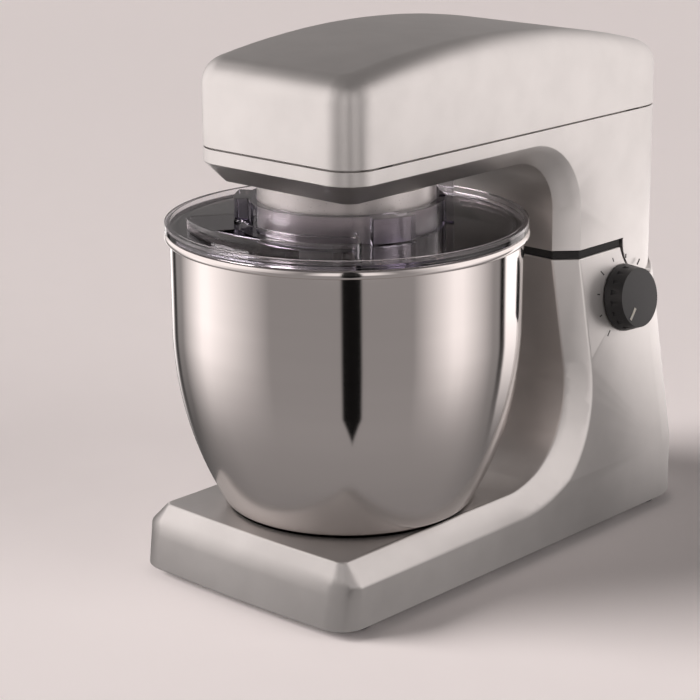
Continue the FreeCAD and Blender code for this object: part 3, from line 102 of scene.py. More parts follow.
# Stretch of the noise that shows in a finish, and the length of one wave of a banded finish.
NOISE_LOW, NOISE_HIGH = 0.3, 0.7
WAVE_LENGTH = 0.314


def middle_of(node):
    low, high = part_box(node)
    return (low + high) / 2


BOWL_AXIS = middle_of("mixing_bowl")


class MixerColours(bpy.types.PropertyGroup):
    """Colours of the mixer's finishes."""

    paint: FloatVectorProperty(
        name="Silver paint", description="Satin metallic paint on base and head", subtype="COLOR",
        default=(0.655, 0.635, 0.62), min=0, max=1)
    steel: FloatVectorProperty(
        name="Polished steel", description="Bowl and its foot ring", subtype="COLOR",
        default=(0.78, 0.735, 0.715), min=0, max=1)
    guard: FloatVectorProperty(
        name="Clear guard", description="Tint of the clear splash guard", subtype="COLOR",
        default=(0.975, 0.97, 0.975), min=0, max=1)
    skirt: FloatVectorProperty(
        name="Hub skirt", description="Light metal ring under the head", subtype="COLOR",
        default=(0.60, 0.57, 0.56), min=0, max=1)
    black: FloatVectorProperty(
        name="Black plastic", description="Knob, lever, seat and gland", subtype="COLOR",
        default=(0.018, 0.018, 0.019), min=0, max=1)
    rubber: FloatVectorProperty(
        name="Rubber", description="Feet, gasket and belt", subtype="COLOR",
        default=(0.012, 0.012, 0.012), min=0, max=1)
    floor: FloatVectorProperty(
        name="Floor", description="Pale floor", subtype="COLOR",
        default=(0.97, 0.92, 0.91), min=0, max=1)
    light: FloatVectorProperty(
        name="Light", description="Tint of all the studio's light", subtype="COLOR",
        default=(1.0, 0.935, 0.92), min=0, max=1)


class MixerSizes(bpy.types.PropertyGroup):
    """Sizes of what the scene adds to the solids."""

    paint_edge: FloatProperty(
        name="Casting edge", description="Rounding of the casings' edges", unit="LENGTH",
        default=1.2 * MM, min=0)
    seam_edge: FloatProperty(
        name="Seam edge", description="Rounding of the edges along the head's seam", unit="LENGTH",
        default=0.4 * MM, min=0)
    slab_blend: FloatProperty(
        name="Shoulder blend", description="Height over which the slab's front shoulder is blended",
        unit="LENGTH", default=7 * MM, min=0)
    slab_shoulder: FloatProperty(
        name="Shoulder height", description="Height of the slab's shoulder above its lower edge", unit="LENGTH",
        default=28.5 * MM, min=0)
    slab_chamfer: FloatProperty(
        name="Slab chamfer", description="Height of the slab's chamfer", unit="LENGTH",
        default=13.8 * MM, min=0)
    slab_corner: FloatProperty(
        name="Slab corner", description="Radius of the slab's front corners", unit="LENGTH",
        default=20 * MM, min=0)
    slab_skin: FloatProperty(
        name="Slab skin", description="Thickness of the slab's wall that leans", unit="LENGTH",
        default=6 * MM, min=0)
    slab_lean: FloatProperty(
        name="Slab lean", description="How far the front wall leans back at its shoulder", unit="LENGTH",
        default=6 * MM, min=0)
    moulded_edge: FloatProperty(
        name="Moulded edge", description="Rounding of plastic edges", unit="LENGTH",
        default=0.6 * MM, min=0)
    metal_edge: FloatProperty(
        name="Metal edge", description="Rounding of turned and pressed edges", unit="LENGTH",
        default=0.35 * MM, min=0)
    sheet: FloatProperty(
        name="Bowl sheet", description="Thickness of the bowl's steel", unit="LENGTH",
        default=1.2 * MM, min=0)
    bead: FloatProperty(
        name="Rolled rim", description="Radius of the bowl's rolled rim", unit="LENGTH",
        default=3.0 * MM, min=0)
    bead_overlap: FloatProperty(
        name="Rim overlap", description="How far the rolled rim's middle lies outside the wall", unit="LENGTH",
        default=0.8 * MM, min=0)
    bowl_curve: FloatProperty(
        name="Bowl curve", description="Radius of the bowl's curved side", unit="LENGTH",
        default=240 * MM, min=0)
    bowl_straight: FloatProperty(
        name="Straight wall", description="Height above which the bowl's wall is straight", unit="LENGTH",
        default=172 * MM, min=0)
    bowl_knuckle: FloatProperty(
        name="Bowl knuckle", description="Radius between the bowl's side and bottom", unit="LENGTH",
        default=4.0 * MM, min=0)
    lathe_steps: IntProperty(
        name="Lathe steps", description="Steps round a turned piece", default=192, min=24)


class MixerStudio(bpy.types.PropertyGroup):
    """Camera and light."""

    azimuth: FloatProperty(
        name="Camera azimuth", description="Camera's bearing from the front towards the right",
        subtype="ANGLE", default=math.radians(42.91))
    elevation: FloatProperty(
        name="Camera elevation", description="Camera's angle above the table", subtype="ANGLE",
        default=math.radians(16.63))
    roll: FloatProperty(
        name="Camera roll", description="Tilt of the picture", subtype="ANGLE", default=math.radians(-0.47))
    distance: FloatProperty(
        name="Camera distance", description="From camera to aim point", unit="LENGTH", default=1.4848, min=0.1)
    aim_height: FloatProperty(
        name="Aim height", description="Height of the aim point on the bowl's axis", unit="LENGTH",
        default=0.150)
    focal_pixels: FloatProperty(
        name="Focal length", description="Focal length in pixels of the square picture", default=2214.05)
    aim_column: FloatProperty(
        name="Aim column", description="Pixel column of the aim point", default=347.92)
    aim_row: FloatProperty(name="Aim row", description="Pixel row of the aim point", default=351.99)
    left: FloatProperty(
        name="Left light", description="Strength of the soft light from the front left", default=4.2, min=0)
    right: FloatProperty(
        name="Right light", description="Strength of the soft light from the right", default=0.7, min=0)
    softness: FloatProperty(
        name="Light softness", description="Angle that each soft light fills", subtype="ANGLE",
        default=math.radians(40.0), min=0)
    ambient: FloatProperty(
        name="Room light", description="Strength of the even light from all round", default=0.06, min=0)
    room_mirrored: FloatProperty(
        name="Mirrored room", description="Brightness of the room in mirrored and clear surfaces",
        default=0.12, min=0)
    tent_radius: FloatProperty(
        name="Tent radius", description="Radius of the light tent that polished faces mirror", unit="LENGTH",
        default=0.34, min=0.2)
    tent_height: FloatProperty(
        name="Tent height", description="Height of the light tent", unit="LENGTH", default=0.80, min=0.2)
    tent_grey: FloatProperty(
        name="Tent grey", description="Brightness of the tent between its panels", default=0.30, min=0)
    tent_high_grey: FloatProperty(
        name="Upper tent grey", description="Brightness of the upper tent between its panels",
        default=0.3, min=0)
    tent_floor: FloatProperty(
        name="Tent floor", description="Brightness of the tent's floor", default=0.31, min=0)
    tent_back_floor: FloatProperty(
        name="Tent back floor", description="Brightness of the tent's floor behind the mixer",
        default=0.10, min=0)
    tent_ceiling: FloatProperty(
        name="Tent ceiling", description="Brightness of the tent's ceiling", default=0.20, min=0)


def link(item):
    bpy.context.scene.collection.objects.link(item)
    return item


def node_in(tree, kind, inputs=None, **settings):
    """Adds a shader node; inputs maps socket names or numbers to values or to other sockets."""
    made = tree.nodes.new(kind)
    for name, value in settings.items():
        setattr(made, name, value)
    for socket, value in (inputs or {}).items():
        if isinstance(value, bpy.types.NodeSocket):
            tree.links.new(value, made.inputs[socket])
        else:
            made.inputs[socket].default_value = value
    return made


def blank_finish(name):
    material = bpy.data.materials.new(name)
    material.use_nodes = True
    tree = material.node_tree
    return material, tree, tree.nodes["Principled BSDF"]


def place_in(tree, stretch=(1.0, 1.0, 1.0)):
    """Object coordinates in metres, stretched for grain that runs one way."""
    coordinates = node_in(tree, "ShaderNodeTexCoord")
    mapping = node_in(tree, "ShaderNodeMapping", {"Vector": coordinates.outputs["Object"], "Scale": stretch})
    return mapping.outputs["Vector"]


def noise_in(tree, place, scale, detail=3.0):
    made = node_in(tree, "ShaderNodeTexNoise", {"Vector": place, "Scale": scale, "Detail": detail})
    return made.outputs["Fac"]


def vary_tone(tree, shader, fac, colour, change):
    """Base colour that drifts a little to both sides of its value."""
    ramp = node_in(tree, "ShaderNodeValToRGB", {"Fac": fac})
    low, high = ramp.color_ramp.elements[0], ramp.color_ramp.elements[1]
    low.position, high.position = NOISE_LOW, NOISE_HIGH
    low.color = [value * (1 - change) for value in colour] + [1.0]
    high.color = [min(1.0, value * (1 + change)) for value in colour] + [1.0]
    tree.links.new(ramp.outputs["Color"], shader.inputs["Base Color"])


def vary_roughness(tree, shader, fac, low, high):
    spread = node_in(tree, "ShaderNodeMapRange", {"Value": fac, "From Min": NOISE_LOW, "From Max": NOISE_HIGH,
                                                  "To Min": low, "To Max": high})
    tree.links.new(spread.outputs["Result"], shader.inputs["Roughness"])


def raise_grain(tree, shader, fac, strength, depth):
    bump = node_in(tree, "ShaderNodeBump", {"Height": fac, "Strength": strength, "Distance": depth})
    tree.links.new(bump.outputs["Normal"], shader.inputs["Normal"])


def plain_finish(name, colour, metallic, rough, grain, change=0.06, strength=0.15, depth=0.05 * MM,
                 stretch=(1.0, 1.0, 1.0), **sockets):
    """A finish with its own grain: noise at the grain's scale drives colour, roughness and a fine bump."""
    material, tree, shader = blank_finish(name)
    shader.inputs["Metallic"].default_value = metallic
    for socket, value in sockets.items():
        shader.inputs[socket.replace("_", " ")].default_value = value
    place = place_in(tree, stretch)
    fine = noise_in(tree, place, grain)
    broad = noise_in(tree, place, grain / 40, 2.0)
    vary_tone(tree, shader, broad, colour, change)
    vary_roughness(tree, shader, fine, rough * 0.85, min(1.0, rough * 1.15))
    raise_grain(tree, shader, fine, strength, depth)
    return material


# The bowl's polish turns satin between these heights, and its colour darkens there as painted shade; at the
# lower one it is so much rougher, and its colour is dimmed to this share.
SATIN_AND_SHADE_LOW = 60 * MM
SATIN_AND_SHADE_HIGH = 135 * MM
SATIN_ROUGH = 0.17
PAINTED_SHADE_DIM = 0.8


def by_height(tree, height, foot, top):
    """Value that runs softly from one at the foot of the satin and painted shade to one at their top."""
    made = node_in(tree, "ShaderNodeMapRange", {"Value": height, "From Min": SATIN_AND_SHADE_LOW, "From Max": SATIN_AND_SHADE_HIGH,
                                                "To Min": foot, "To Max": top}, interpolation_type="SMOOTHSTEP")
    return made.outputs["Result"]


def satin_and_painted_shade_below(material):
    """Turns a polish satin towards the foot: it grows rougher, and its colour is darkened as painted shade."""
    tree = material.node_tree
    shader = tree.nodes["Principled BSDF"]
    polish = shader.inputs["Roughness"].links[0].from_socket
    colour = shader.inputs["Base Color"].links[0].from_socket
    height = node_in(tree, "ShaderNodeSeparateXYZ", {"Vector": place_in(tree)}).outputs["Z"]
    satin = by_height(tree, height, SATIN_ROUGH, 0.0)
    both = node_in(tree, "ShaderNodeMath", {0: polish, 1: satin}, operation="ADD")
    tree.links.new(both.outputs["Value"], shader.inputs["Roughness"])
    # Painted shade: the steel's colour darkens towards the bowl's foot.
    shade = by_height(tree, height, PAINTED_SHADE_DIM, 1.0)
    toned = node_in(tree, "ShaderNodeVectorMath", {0: colour, "Scale": shade}, operation="SCALE")
    tree.links.new(toned.outputs["Vector"], shader.inputs["Base Color"])
    return material


# What the guard's clear plastic takes from light on its way through.
GUARD_DEPTH_COLOUR = (0.4, 0.33, 0.52, 1.0)
GUARD_DEPTH_DENSITY = 26.0


def clear_finish(name, colour):
    """Clear moulded plastic with the faint ripple of its mould."""
    material, tree, shader = blank_finish(name)
    shader.inputs["Base Color"].default_value = (*colour, 1.0)
    shader.inputs["Transmission Weight"].default_value = 1.0
    shader.inputs["IOR"].default_value = 1.49
    depth = node_in(tree, "ShaderNodeVolumeAbsorption", {"Color": GUARD_DEPTH_COLOUR,
                                                        "Density": GUARD_DEPTH_DENSITY})
    tree.links.new(depth.outputs["Volume"], tree.nodes["Material Output"].inputs["Volume"])
    place = place_in(tree)
    vary_roughness(tree, shader, noise_in(tree, place, 60.0), 0.015, 0.05)
    raise_grain(tree, shader, noise_in(tree, place, 35.0, 1.0), 0.04, 0.3 * MM)
    return material


def banded_finish(name, colour, metallic, rough, pitch, axis, change=0.25):
    """Finish in fine parallel bands, such as stacked sheets or wound wire."""
    material, tree, shader = blank_finish(name)
    shader.inputs["Metallic"].default_value = metallic
    place = place_in(tree)
    wave = node_in(tree, "ShaderNodeTexWave",
                   {"Vector": place, "Scale": WAVE_LENGTH / pitch, "Distortion": 0.4},
                   wave_type="BANDS", bands_direction=axis)
    vary_tone(tree, shader, wave.outputs["Fac"], colour, change)
    vary_roughness(tree, shader, noise_in(tree, place, 900.0), rough * 0.85, rough * 1.15)
    raise_grain(tree, shader, wave.outputs["Fac"], 0.4, 0.1 * MM)
    return material


def make_finishes(colours):
    """All finishes by the record's slot names."""
    return {
        "silver_paint": plain_finish("silver_paint", colours.paint, 0.95, 0.40, 1600.0, change=0.03,
                                     strength=0.06, depth=0.03 * MM, Coat_Weight=0.1, Coat_Roughness=0.25),
        # The polished steel grows satin and takes painted shade towards the bowl's foot.
        "steel_polished": satin_and_painted_shade_below(plain_finish(
            "steel_polished", colours.steel, 1.0, 0.075, 500.0, change=0.02, strength=0.05, depth=0.01 * MM,
            stretch=(0.3, 0.3, 3.0))),
        "steel": plain_finish("machined_steel", (0.56, 0.55, 0.54), 1.0, 0.28, 900.0, stretch=(0.3, 0.3, 3.0)),
        "clear_plastic": clear_finish("clear_plastic", colours.guard),
        "skirt_metal": plain_finish("skirt_metal", colours.skirt, 0.7, 0.32, 1200.0, change=0.03,
                                    strength=0.08, stretch=(0.4, 0.4, 2.0)),
        "black_plastic": plain_finish("black_plastic", colours.black, 0.0, 0.42, 1400.0, strength=0.3),
        "black_rubber": plain_finish("black_rubber", colours.rubber, 0.0, 0.72, 1100.0, strength=0.3),
        "nylon": plain_finish("natural_nylon", (0.72, 0.69, 0.60), 0.0, 0.45, 700.0, Subsurface_Weight=0.1),
        "grey_plastic": plain_finish("grey_plastic", (0.10, 0.10, 0.105), 0.0, 0.5, 1300.0, strength=0.3),
        "copper": banded_finish("copper_wire", (0.62, 0.28, 0.14), 0.9, 0.3, 0.9 * MM, "Z"),
        "laminated_steel": banded_finish("stacked_sheets", (0.20, 0.20, 0.205), 0.9, 0.45, 1.0 * MM, "Z"),
        "bronze": plain_finish("oiled_bronze", (0.48, 0.33, 0.16), 1.0, 0.38, 900.0),
        "carbon": plain_finish("brush_carbon", (0.025, 0.025, 0.026), 0.1, 0.55, 900.0),
        "cast_aluminium": plain_finish("cast_aluminium", (0.55, 0.545, 0.54), 0.9, 0.45, 800.0, strength=0.3),
        "board_green": plain_finish("board_lacquer", (0.02, 0.12, 0.05), 0.0, 0.3, 400.0, change=0.3),
    }


FINISHES = {}


def finish_for(slot):
    if not FINISHES:
        FINISHES.update(make_finishes(bpy.context.scene.mixer_colours))
    return FINISHES[slot]


def finish(piece, slot, body):
    """The piece takes a finish and rides on a body."""
    piece.data.materials.clear()
    piece.data.materials.append(finish_for(slot))
    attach(piece, body)
    return piece


def take(piece, *nodes):
    """The piece stands for solids of one body and takes their finish."""
    finish(piece, SLOTS[nodes[0]], BODIES[nodes[0]])
    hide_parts(*nodes)
    return piece


def soften(piece, width, angle=None):
    """Rounds every edge sharper than an angle, or the marked edges alone where no angle is given."""
    bevel = piece.modifiers.new("soft_edges", "BEVEL")
    bevel.width = width
    bevel.segments = BEVEL_STEPS
    bevel.harden_normals = True
    bevel.use_clamp_overlap = angle is not None
    bevel.limit_method = "WEIGHT"
    if angle is not None:
        bevel.limit_method = "ANGLE"
        bevel.angle_limit = math.radians(angle)
    return piece


def mark_edges(work, angle):
    """Marks the sharp edges that lie open to the outside."""
    tree = BVHTree.FromBMesh(work)
    weights = work.edges.layers.float.new("bevel_weight_edge")
    for edge in work.edges:
        if not edge.is_convex or edge.calc_face_angle(0.0) < math.radians(angle):
            continue
        outward = (edge.link_faces[0].normal + edge.link_faces[1].normal).normalized()
        middle = (edge.verts[0].co + edge.verts[1].co) / 2
        if tree.ray_cast(middle + outward * RAY_LIFT, outward)[0] is None:
            edge[weights] = 1.0


def piece_from(work, name, angle=None):
    """Object from a worked mesh, shaded smooth but for edges sharper than an angle, if one is given."""
    for face in work.faces:
        face.smooth = True
    mesh = bpy.data.meshes.new(name)
    work.to_mesh(mesh)
    work.free()
    if angle is not None:
        mesh.set_sharp_from_angle(angle=math.radians(angle))
    return link(bpy.data.objects.new(name, mesh))


def welded(*nodes):
    """Welded copy of the solids of one piece, in their place; butted faces are left out."""
    work = bmesh.new()
    for node in nodes:
        work.from_mesh(frame["nodes"][node].data)
    bmesh.ops.remove_doubles(work, verts=work.verts, dist=WELD)
    if len(nodes) > 1:
        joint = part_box(nodes[0])[1].y
        butted = [face for face in work.faces if all(abs(corner.co.y - joint) < WELD for corner in face.verts)]
        bmesh.ops.delete(work, geom=butted, context="FACES")
        bmesh.ops.remove_doubles(work, verts=work.verts, dist=JOINT_WELD)
    bmesh.ops.dissolve_limit(work, angle_limit=math.radians(FLAT), verts=work.verts, edges=work.edges)
    return work


def dressed(*nodes, edge, angle=SHARP):
    """Copy of the solids of one piece with softened edges."""
    piece = piece_from(welded(*nodes), nodes[0] + "_skin", angle)
    take(piece, *nodes)
    return soften(piece, edge, angle)


def cast_skin(*nodes, edge, lean=None, angle=CAST_SHARP):
    """Painted casting with its open edges rounded; lean may draw its walls in first."""
    work = welded(*nodes)
    if lean:
        lean(work)
    mark_edges(work, angle)
    piece = piece_from(work, nodes[0] + "_skin", angle)
    take(piece, *nodes)
    return soften(piece, edge)


def lathe(name, profile, axis, steps):
    """Turned piece: profile points (radius, height) run round an upright axis and close on themselves."""
    work = bmesh.new()
    rings = []
    for radius, height in profile:
        if radius < WELD:
            rings.append([work.verts.new((axis.x, axis.y, height))])
            continue
        ring = []
        for step in range(steps):
            angle = 2 * math.pi * step / steps
            ring.append(work.verts.new((axis.x + radius * math.cos(angle),
                                        axis.y + radius * math.sin(angle), height)))
        rings.append(ring)
    for lower, upper in zip(rings, rings[1:]):
        for step in range(steps):
            following = (step + 1) % steps
            corners = [lower[step % len(lower)], lower[following % len(lower)],
                       upper[following % len(upper)], upper[step % len(upper)]]
            corners = list(dict.fromkeys(corners))
            if len(corners) > 2:
                work.faces.new(corners)
    bmesh.ops.recalc_face_normals(work, faces=work.faces)
    return piece_from(work, name)


def arc(centre, radius, start, end, steps):
    """Points on an arc in the profile plane; angles in radians."""
    points = []
    for step in range(steps + 1):
        angle = start + (end - start) * step / steps
        points.append((centre[0] + radius * math.cos(angle), centre[1] + radius * math.sin(angle)))
    return points


# How far the slab's shoulder is blended above its line, as a share of the way below it.
BLEND_ABOVE = 0.8


class MIXER_OT_casings(bpy.types.Operator):
    """Base, pillar and head castings in satin silver paint, with the black band between them"""

    bl_idname = "mixer.casings"
    bl_label = "Casings"

    def execute(self, context):
        sizes = context.scene.mixer_sizes
        low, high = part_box("base_casing")
        front = low.y + sizes.slab_corner
        crown = sizes.slab_shoulder + sizes.slab_chamfer

        def lean(work):
            """The slab's front wall leans back from the foot and blends softly into its chamfer."""
            for vert in work.verts:
                beside = max(0.0, abs(vert.co.x) - (high.x - sizes.slab_corner))
                behind = front - vert.co.y
                depth = sizes.slab_corner - math.hypot(beside, max(0.0, behind))
                height = vert.co.z - low.z
                if behind > 0 and depth < sizes.slab_skin and height < crown:
                    rise = min(height / sizes.slab_shoulder, (crown - height) / sizes.slab_chamfer)
                    vert.co.y += sizes.slab_lean * max(0.0, rise) * min(1.0, behind / sizes.slab_corner)
            for height in (sizes.slab_shoulder - sizes.slab_blend,
                           sizes.slab_shoulder + sizes.slab_blend * BLEND_ABOVE):
                wall = [face for face in work.faces if face.calc_center_median().y < front]
                lines = {edge for face in wall for edge in face.edges}
                points = {vert for face in wall for vert in face.verts}
                bmesh.ops.bisect_plane(work, geom=[*wall, *lines, *points], dist=WELD,
                                       plane_co=(0.0, 0.0, low.z + height), plane_no=(0.0, 0.0, 1.0))
            work.normal_update()

        cast_skin("base_casing", "pillar_casing", edge=sizes.paint_edge, lean=lean)
        cast_skin("head_lower_casing", edge=sizes.seam_edge)
        cast_skin("head_top_cover", edge=sizes.seam_edge)
        dressed("pillar_gasket", edge=sizes.moulded_edge)
        return {"FINISHED"}


def bowl_side(sizes, wall_radius, bottom, inward):
    """Profile from the middle of the bottom up the curved side to the straight wall."""
    radius = wall_radius - inward
    curve = sizes.bowl_curve - inward
    knuckle = sizes.bowl_knuckle - inward
    low = bottom + inward
    centre = (radius - curve, sizes.bowl_straight)
    drop = centre[1] - (low + knuckle)
    knuckle_r = centre[0] + math.sqrt((curve - knuckle) ** 2 - drop ** 2)
    lean = math.atan2(drop, knuckle_r - centre[0])
    points = [(0.0, low), (knuckle_r * 0.5, low)]
    points += arc((knuckle_r, low + knuckle), knuckle, -math.pi / 2, -lean, KNUCKLE_STEPS)
    points += arc(centre, curve, -lean, 0.0, CURVE_STEPS)[1:]
    return points


# The straight wall's last point stops this short of the rolled rim.
RIM_GAP = 0.2 * MM


def straight_wall(radius, low, high):
    """Points up the bowl's straight wall, in steps so that it shades as a true cylinder up to its rim."""
    heights = [low + (high - low) * step / WALL_STEPS for step in range(1, WALL_STEPS)]
    return [(radius, height) for height in heights] + [(radius, high - RIM_GAP)]


class MIXER_OT_bowl(bpy.types.Operator):
    """Polished bowl with its rolled rim, and the ring it stands on"""

    bl_idname = "mixer.bowl"
    bl_label = "Bowl"

    def execute(self, context):
        sizes = context.scene.mixer_sizes
        low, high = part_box("mixing_bowl")
        bead_circle = (high.x - low.x) / 2 - sizes.bead
        bead_height = high.z - sizes.bead
        wall_radius = bead_circle - sizes.bead_overlap
        outer = bowl_side(sizes, wall_radius, low.z, 0.0)
        inner = bowl_side(sizes, wall_radius, low.z, sizes.sheet)
        start = -math.acos((wall_radius - bead_circle) / sizes.bead)
        end = 2 * math.pi - math.acos((wall_radius - sizes.sheet - bead_circle) / sizes.bead)
        bead = arc((bead_circle, bead_height), sizes.bead, start, end, BEAD_STEPS)
        outer += straight_wall(wall_radius, sizes.bowl_straight, bead[0][1])
        inner += straight_wall(wall_radius - sizes.sheet, sizes.bowl_straight, bead[-1][1])
        bowl = lathe("mixing_bowl_spun", outer + bead + inner[::-1], BOWL_AXIS, sizes.lathe_steps)
        take(bowl, "mixing_bowl")
        dressed("bowl_foot_ring", edge=sizes.metal_edge)
        dressed("bowl_seat", edge=sizes.moulded_edge)
        return {"FINISHED"}


class MIXER_OT_guard(bpy.types.Operator):
    """Clear splash guard with its chute, collar and clips"""

    bl_idname = "mixer.guard"
    bl_label = "Splash guard"

    def execute(self, context):
        dressed("splash_guard", edge=context.scene.mixer_sizes.moulded_edge)
        return {"FINISHED"}


class MIXER_OT_hub(bpy.types.Operator):
    """Hub skirt, turning hub and beater"""

    bl_idname = "mixer.hub"
    bl_label = "Hub and beater"

    def execute(self, context):
        sizes = context.scene.mixer_sizes
        for node in ("hub_skirt", "hub_carrier", "tool_shaft", "tool_cross_pin"):
            dressed(node, edge=sizes.metal_edge)
        dressed("flat_beater", edge=sizes.paint_edge)
        return {"FINISHED"}


# The knob's pointer and the ticks round it, out from its axis; the knob turns as far to each side of upright.
KNOB_SIDE_TURN = 135.0
POINTER_START = 9 * MM
POINTER_END = 19 * MM
POINTER_WIDTH = 2.2 * MM
POINTER_SINK = 0.5 * MM
POINTER_PROUD = 0.3 * MM
TICK_COUNT = 10
TICK_STEP = 2 * KNOB_SIDE_TURN / (TICK_COUNT - 1)
TICK_CIRCLE = 28 * MM
TICK_WIDTH = 1.0 * MM
TICK_SINK = 0.3 * MM
TICK_PROUD = 0.15 * MM
LONG_TICK_EVERY = 3
LONG_TICK = 5 * MM
SHORT_TICK = 3 * MM

# Grip ribs on the release lever, from its tip.
RIB_COUNT = 4
RIB_FIRST = 4.5 * MM
RIB_PITCH = 3.2 * MM
RIB_RADIUS = 0.9 * MM
RIB_HALF_HEIGHT = 4.6 * MM
RIB_SINK = 0.1 * MM
RIB_STEPS = 6


class MIXER_OT_controls(bpy.types.Operator):
    """Speed knob and head release"""

    bl_idname = "mixer.controls"
    bl_label = "Controls"

    def execute(self, context):
        sizes = context.scene.mixer_sizes
        dressed("speed_knob", edge=sizes.moulded_edge)
        dressed("release_lever", edge=sizes.moulded_edge * 2)
        self.mark_knob()
        self.rib_lever()
        return {"FINISHED"}

    def mark_knob(self):
        """Pale pointer on the knob and dark ticks round it on the pillar's side."""
        joint = JOINTS["speed_knob"]
        axis = Vector(joint["axis"])
        way = 1.0 if axis.x > 0 else -1.0
        outward = axis * way
        upward = outward.cross(Vector((0.0, 1.0, 0.0)))
        turn = Matrix((outward, (0.0, 1.0, 0.0), upward)).transposed()
        place = Matrix.Translation(joint["pos_m"]) @ turn.to_4x4()
        reach = max((place.inverted() @ corner.co).x for corner in frame["nodes"]["speed_knob"].data.vertices)
        first = math.pi / 2 - way * math.radians(KNOB_SIDE_TURN)
        pointer = bmesh.new()
        self.add_bar(pointer, place, first, POINTER_START, POINTER_END, POINTER_WIDTH,
                     reach - POINTER_SINK, reach + POINTER_PROUD)
        finish(piece_from(pointer, "knob_pointer", SHARP), "nylon", "knob")
        ticks = bmesh.new()
        for step in range(TICK_COUNT):
            length = LONG_TICK if step % LONG_TICK_EVERY == 0 else SHORT_TICK
            bearing = first + way * math.radians(TICK_STEP) * step
            self.add_bar(ticks, place, bearing, TICK_CIRCLE, TICK_CIRCLE + length, TICK_WIDTH,
                         -TICK_SINK, TICK_PROUD)
        finish(piece_from(ticks, "knob_ticks", SHARP), "black_plastic", "base")

    def add_bar(self, work, place, bearing, start, end, width, low, high):
        """Bar that points away from the knob's axis, its outer face a little smaller than its foot."""
        along = Vector((0.0, math.cos(bearing), math.sin(bearing)))
        across = Vector((0.0, -math.sin(bearing), math.cos(bearing)))
        slim = 0.1 * MM
        foot, face = [], []
        for radius, side, inward in ((start, -1, 1), (end, -1, -1), (end, 1, -1), (start, 1, 1)):
            foot.append(place @ (along * radius + across * side * width / 2 + Vector((low, 0.0, 0.0))))
            face.append(place @ (along * (radius + inward * slim) + across * side * (width / 2 - slim)
                                 + Vector((high, 0.0, 0.0))))
        foot = [work.verts.new(point) for point in foot]
        face = [work.verts.new(point) for point in face]
        work.faces.new(face)
        work.faces.new(foot[::-1])
        for index in range(4):
            following = (index + 1) % 4
            work.faces.new((foot[index], foot[following], face[following], face[index]))
        bmesh.ops.recalc_face_normals(work, faces=work.faces)

    def rib_lever(self):
        """Grip ribs across the release lever's tip."""
        low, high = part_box("release_lever")
        middle = (low.z + high.z) / 2
        work = bmesh.new()
        for step in range(RIB_COUNT):
            centre = (low.x + RIB_SINK, low.y + RIB_FIRST + RIB_PITCH * step)
            ring = arc(centre, RIB_RADIUS, math.pi / 2, 3 * math.pi / 2, RIB_STEPS)
            tops = [work.verts.new((x, y, middle + RIB_HALF_HEIGHT)) for x, y in ring]
            feet = [work.verts.new((x, y, middle - RIB_HALF_HEIGHT)) for x, y in ring]
            work.faces.new(tops)
            work.faces.new(feet[::-1])
            for index in range(len(ring)):
                following = (index + 1) % len(ring)
                work.faces.new((tops[index], feet[index], feet[following], tops[following]))
        bmesh.ops.recalc_face_normals(work, faces=work.faces)
        finish(piece_from(work, "lever_ribs", RIB_SHARP), "black_plastic", "lever")


class MIXER_OT_fittings(bpy.types.Operator):
    """Feet, base plate and cord gland"""

    bl_idname = "mixer.fittings"
    bl_label = "Base fittings"

    def execute(self, context):
        for node in ("rubber_feet", "base_plate", "cord_gland"):
            dressed(node, edge=context.scene.mixer_sizes.moulded_edge)
        return {"FINISHED"}


class MIXER_OT_inside(bpy.types.Operator):
    """Finishes of the drive, the motor, the electrics and the fasteners"""

    bl_idname = "mixer.inside"
    bl_label = "Inside"

    def execute(self, context):
        for node, item in frame["nodes"].items():
            if item.hide_render:
                continue
            item.data.materials.clear()
            item.data.materials.append(finish_for(SLOTS[node]))
        return {"FINISHED"}


def add_light(name, place, aim, strength, softness, tint):
    """Soft light that falls evenly from one side; polished faces mirror the tent instead."""
    light = bpy.data.lights.new(name, "SUN")
    light.energy = strength
    light.angle = softness
    light.color = tint
    item = link(bpy.data.objects.new(name, light))
    item.location = place
    item.rotation_euler = (Vector(aim) - Vector(place)).to_track_quat("-Z", "Y").to_euler()
    item.visible_glossy = False


FLOOR_RADIUS = 14.0


def add_floor(colour):
    """Wide pale floor."""
    work = bmesh.new()
    bmesh.ops.create_circle(work, cap_ends=True, segments=STAGE_STEPS, radius=FLOOR_RADIUS)
    mesh = bpy.data.meshes.new("studio_floor")
    work.to_mesh(mesh)
    work.free()
    floor = link(bpy.data.objects.new("studio_floor", mesh))
    mesh.materials.append(plain_finish("studio_floor", colour, 0.0, 0.7, 40.0, change=0.01, strength=0.02))


# Panels of the tent, low and high: where each starts, is full from, full to and ends, in degrees from the
# camera's bearing, and its brightness.
LOW_PANELS = (
    ("left_strip", -150.0, -146.0, -140.0, -136.0, 1.5),
    ("left_flag", -136.0, -133.0, -129.0, -126.0, 0.04),
    ("left_softbox", -117.0, -92.0, -86.0, -42.0, 1.4),
    ("right_softbox", 35.0, 60.0, 66.0, 92.0, 1.2),
    ("right_flag", 98.0, 100.0, 103.5, 104.5, 0.01),
    ("right_strip", 105.0, 106.0, 131.0, 137.0, 1.5),
)
HIGH_PANELS = (
    ("left_softbox", -150.0, -125.0, -60.0, -25.0, 1.25),
    ("front_fill", -22.0, -12.0, 14.0, 26.0, 1.0),
    ("right_softbox", 30.0, 60.0, 120.0, 150.0, 1.2),
)


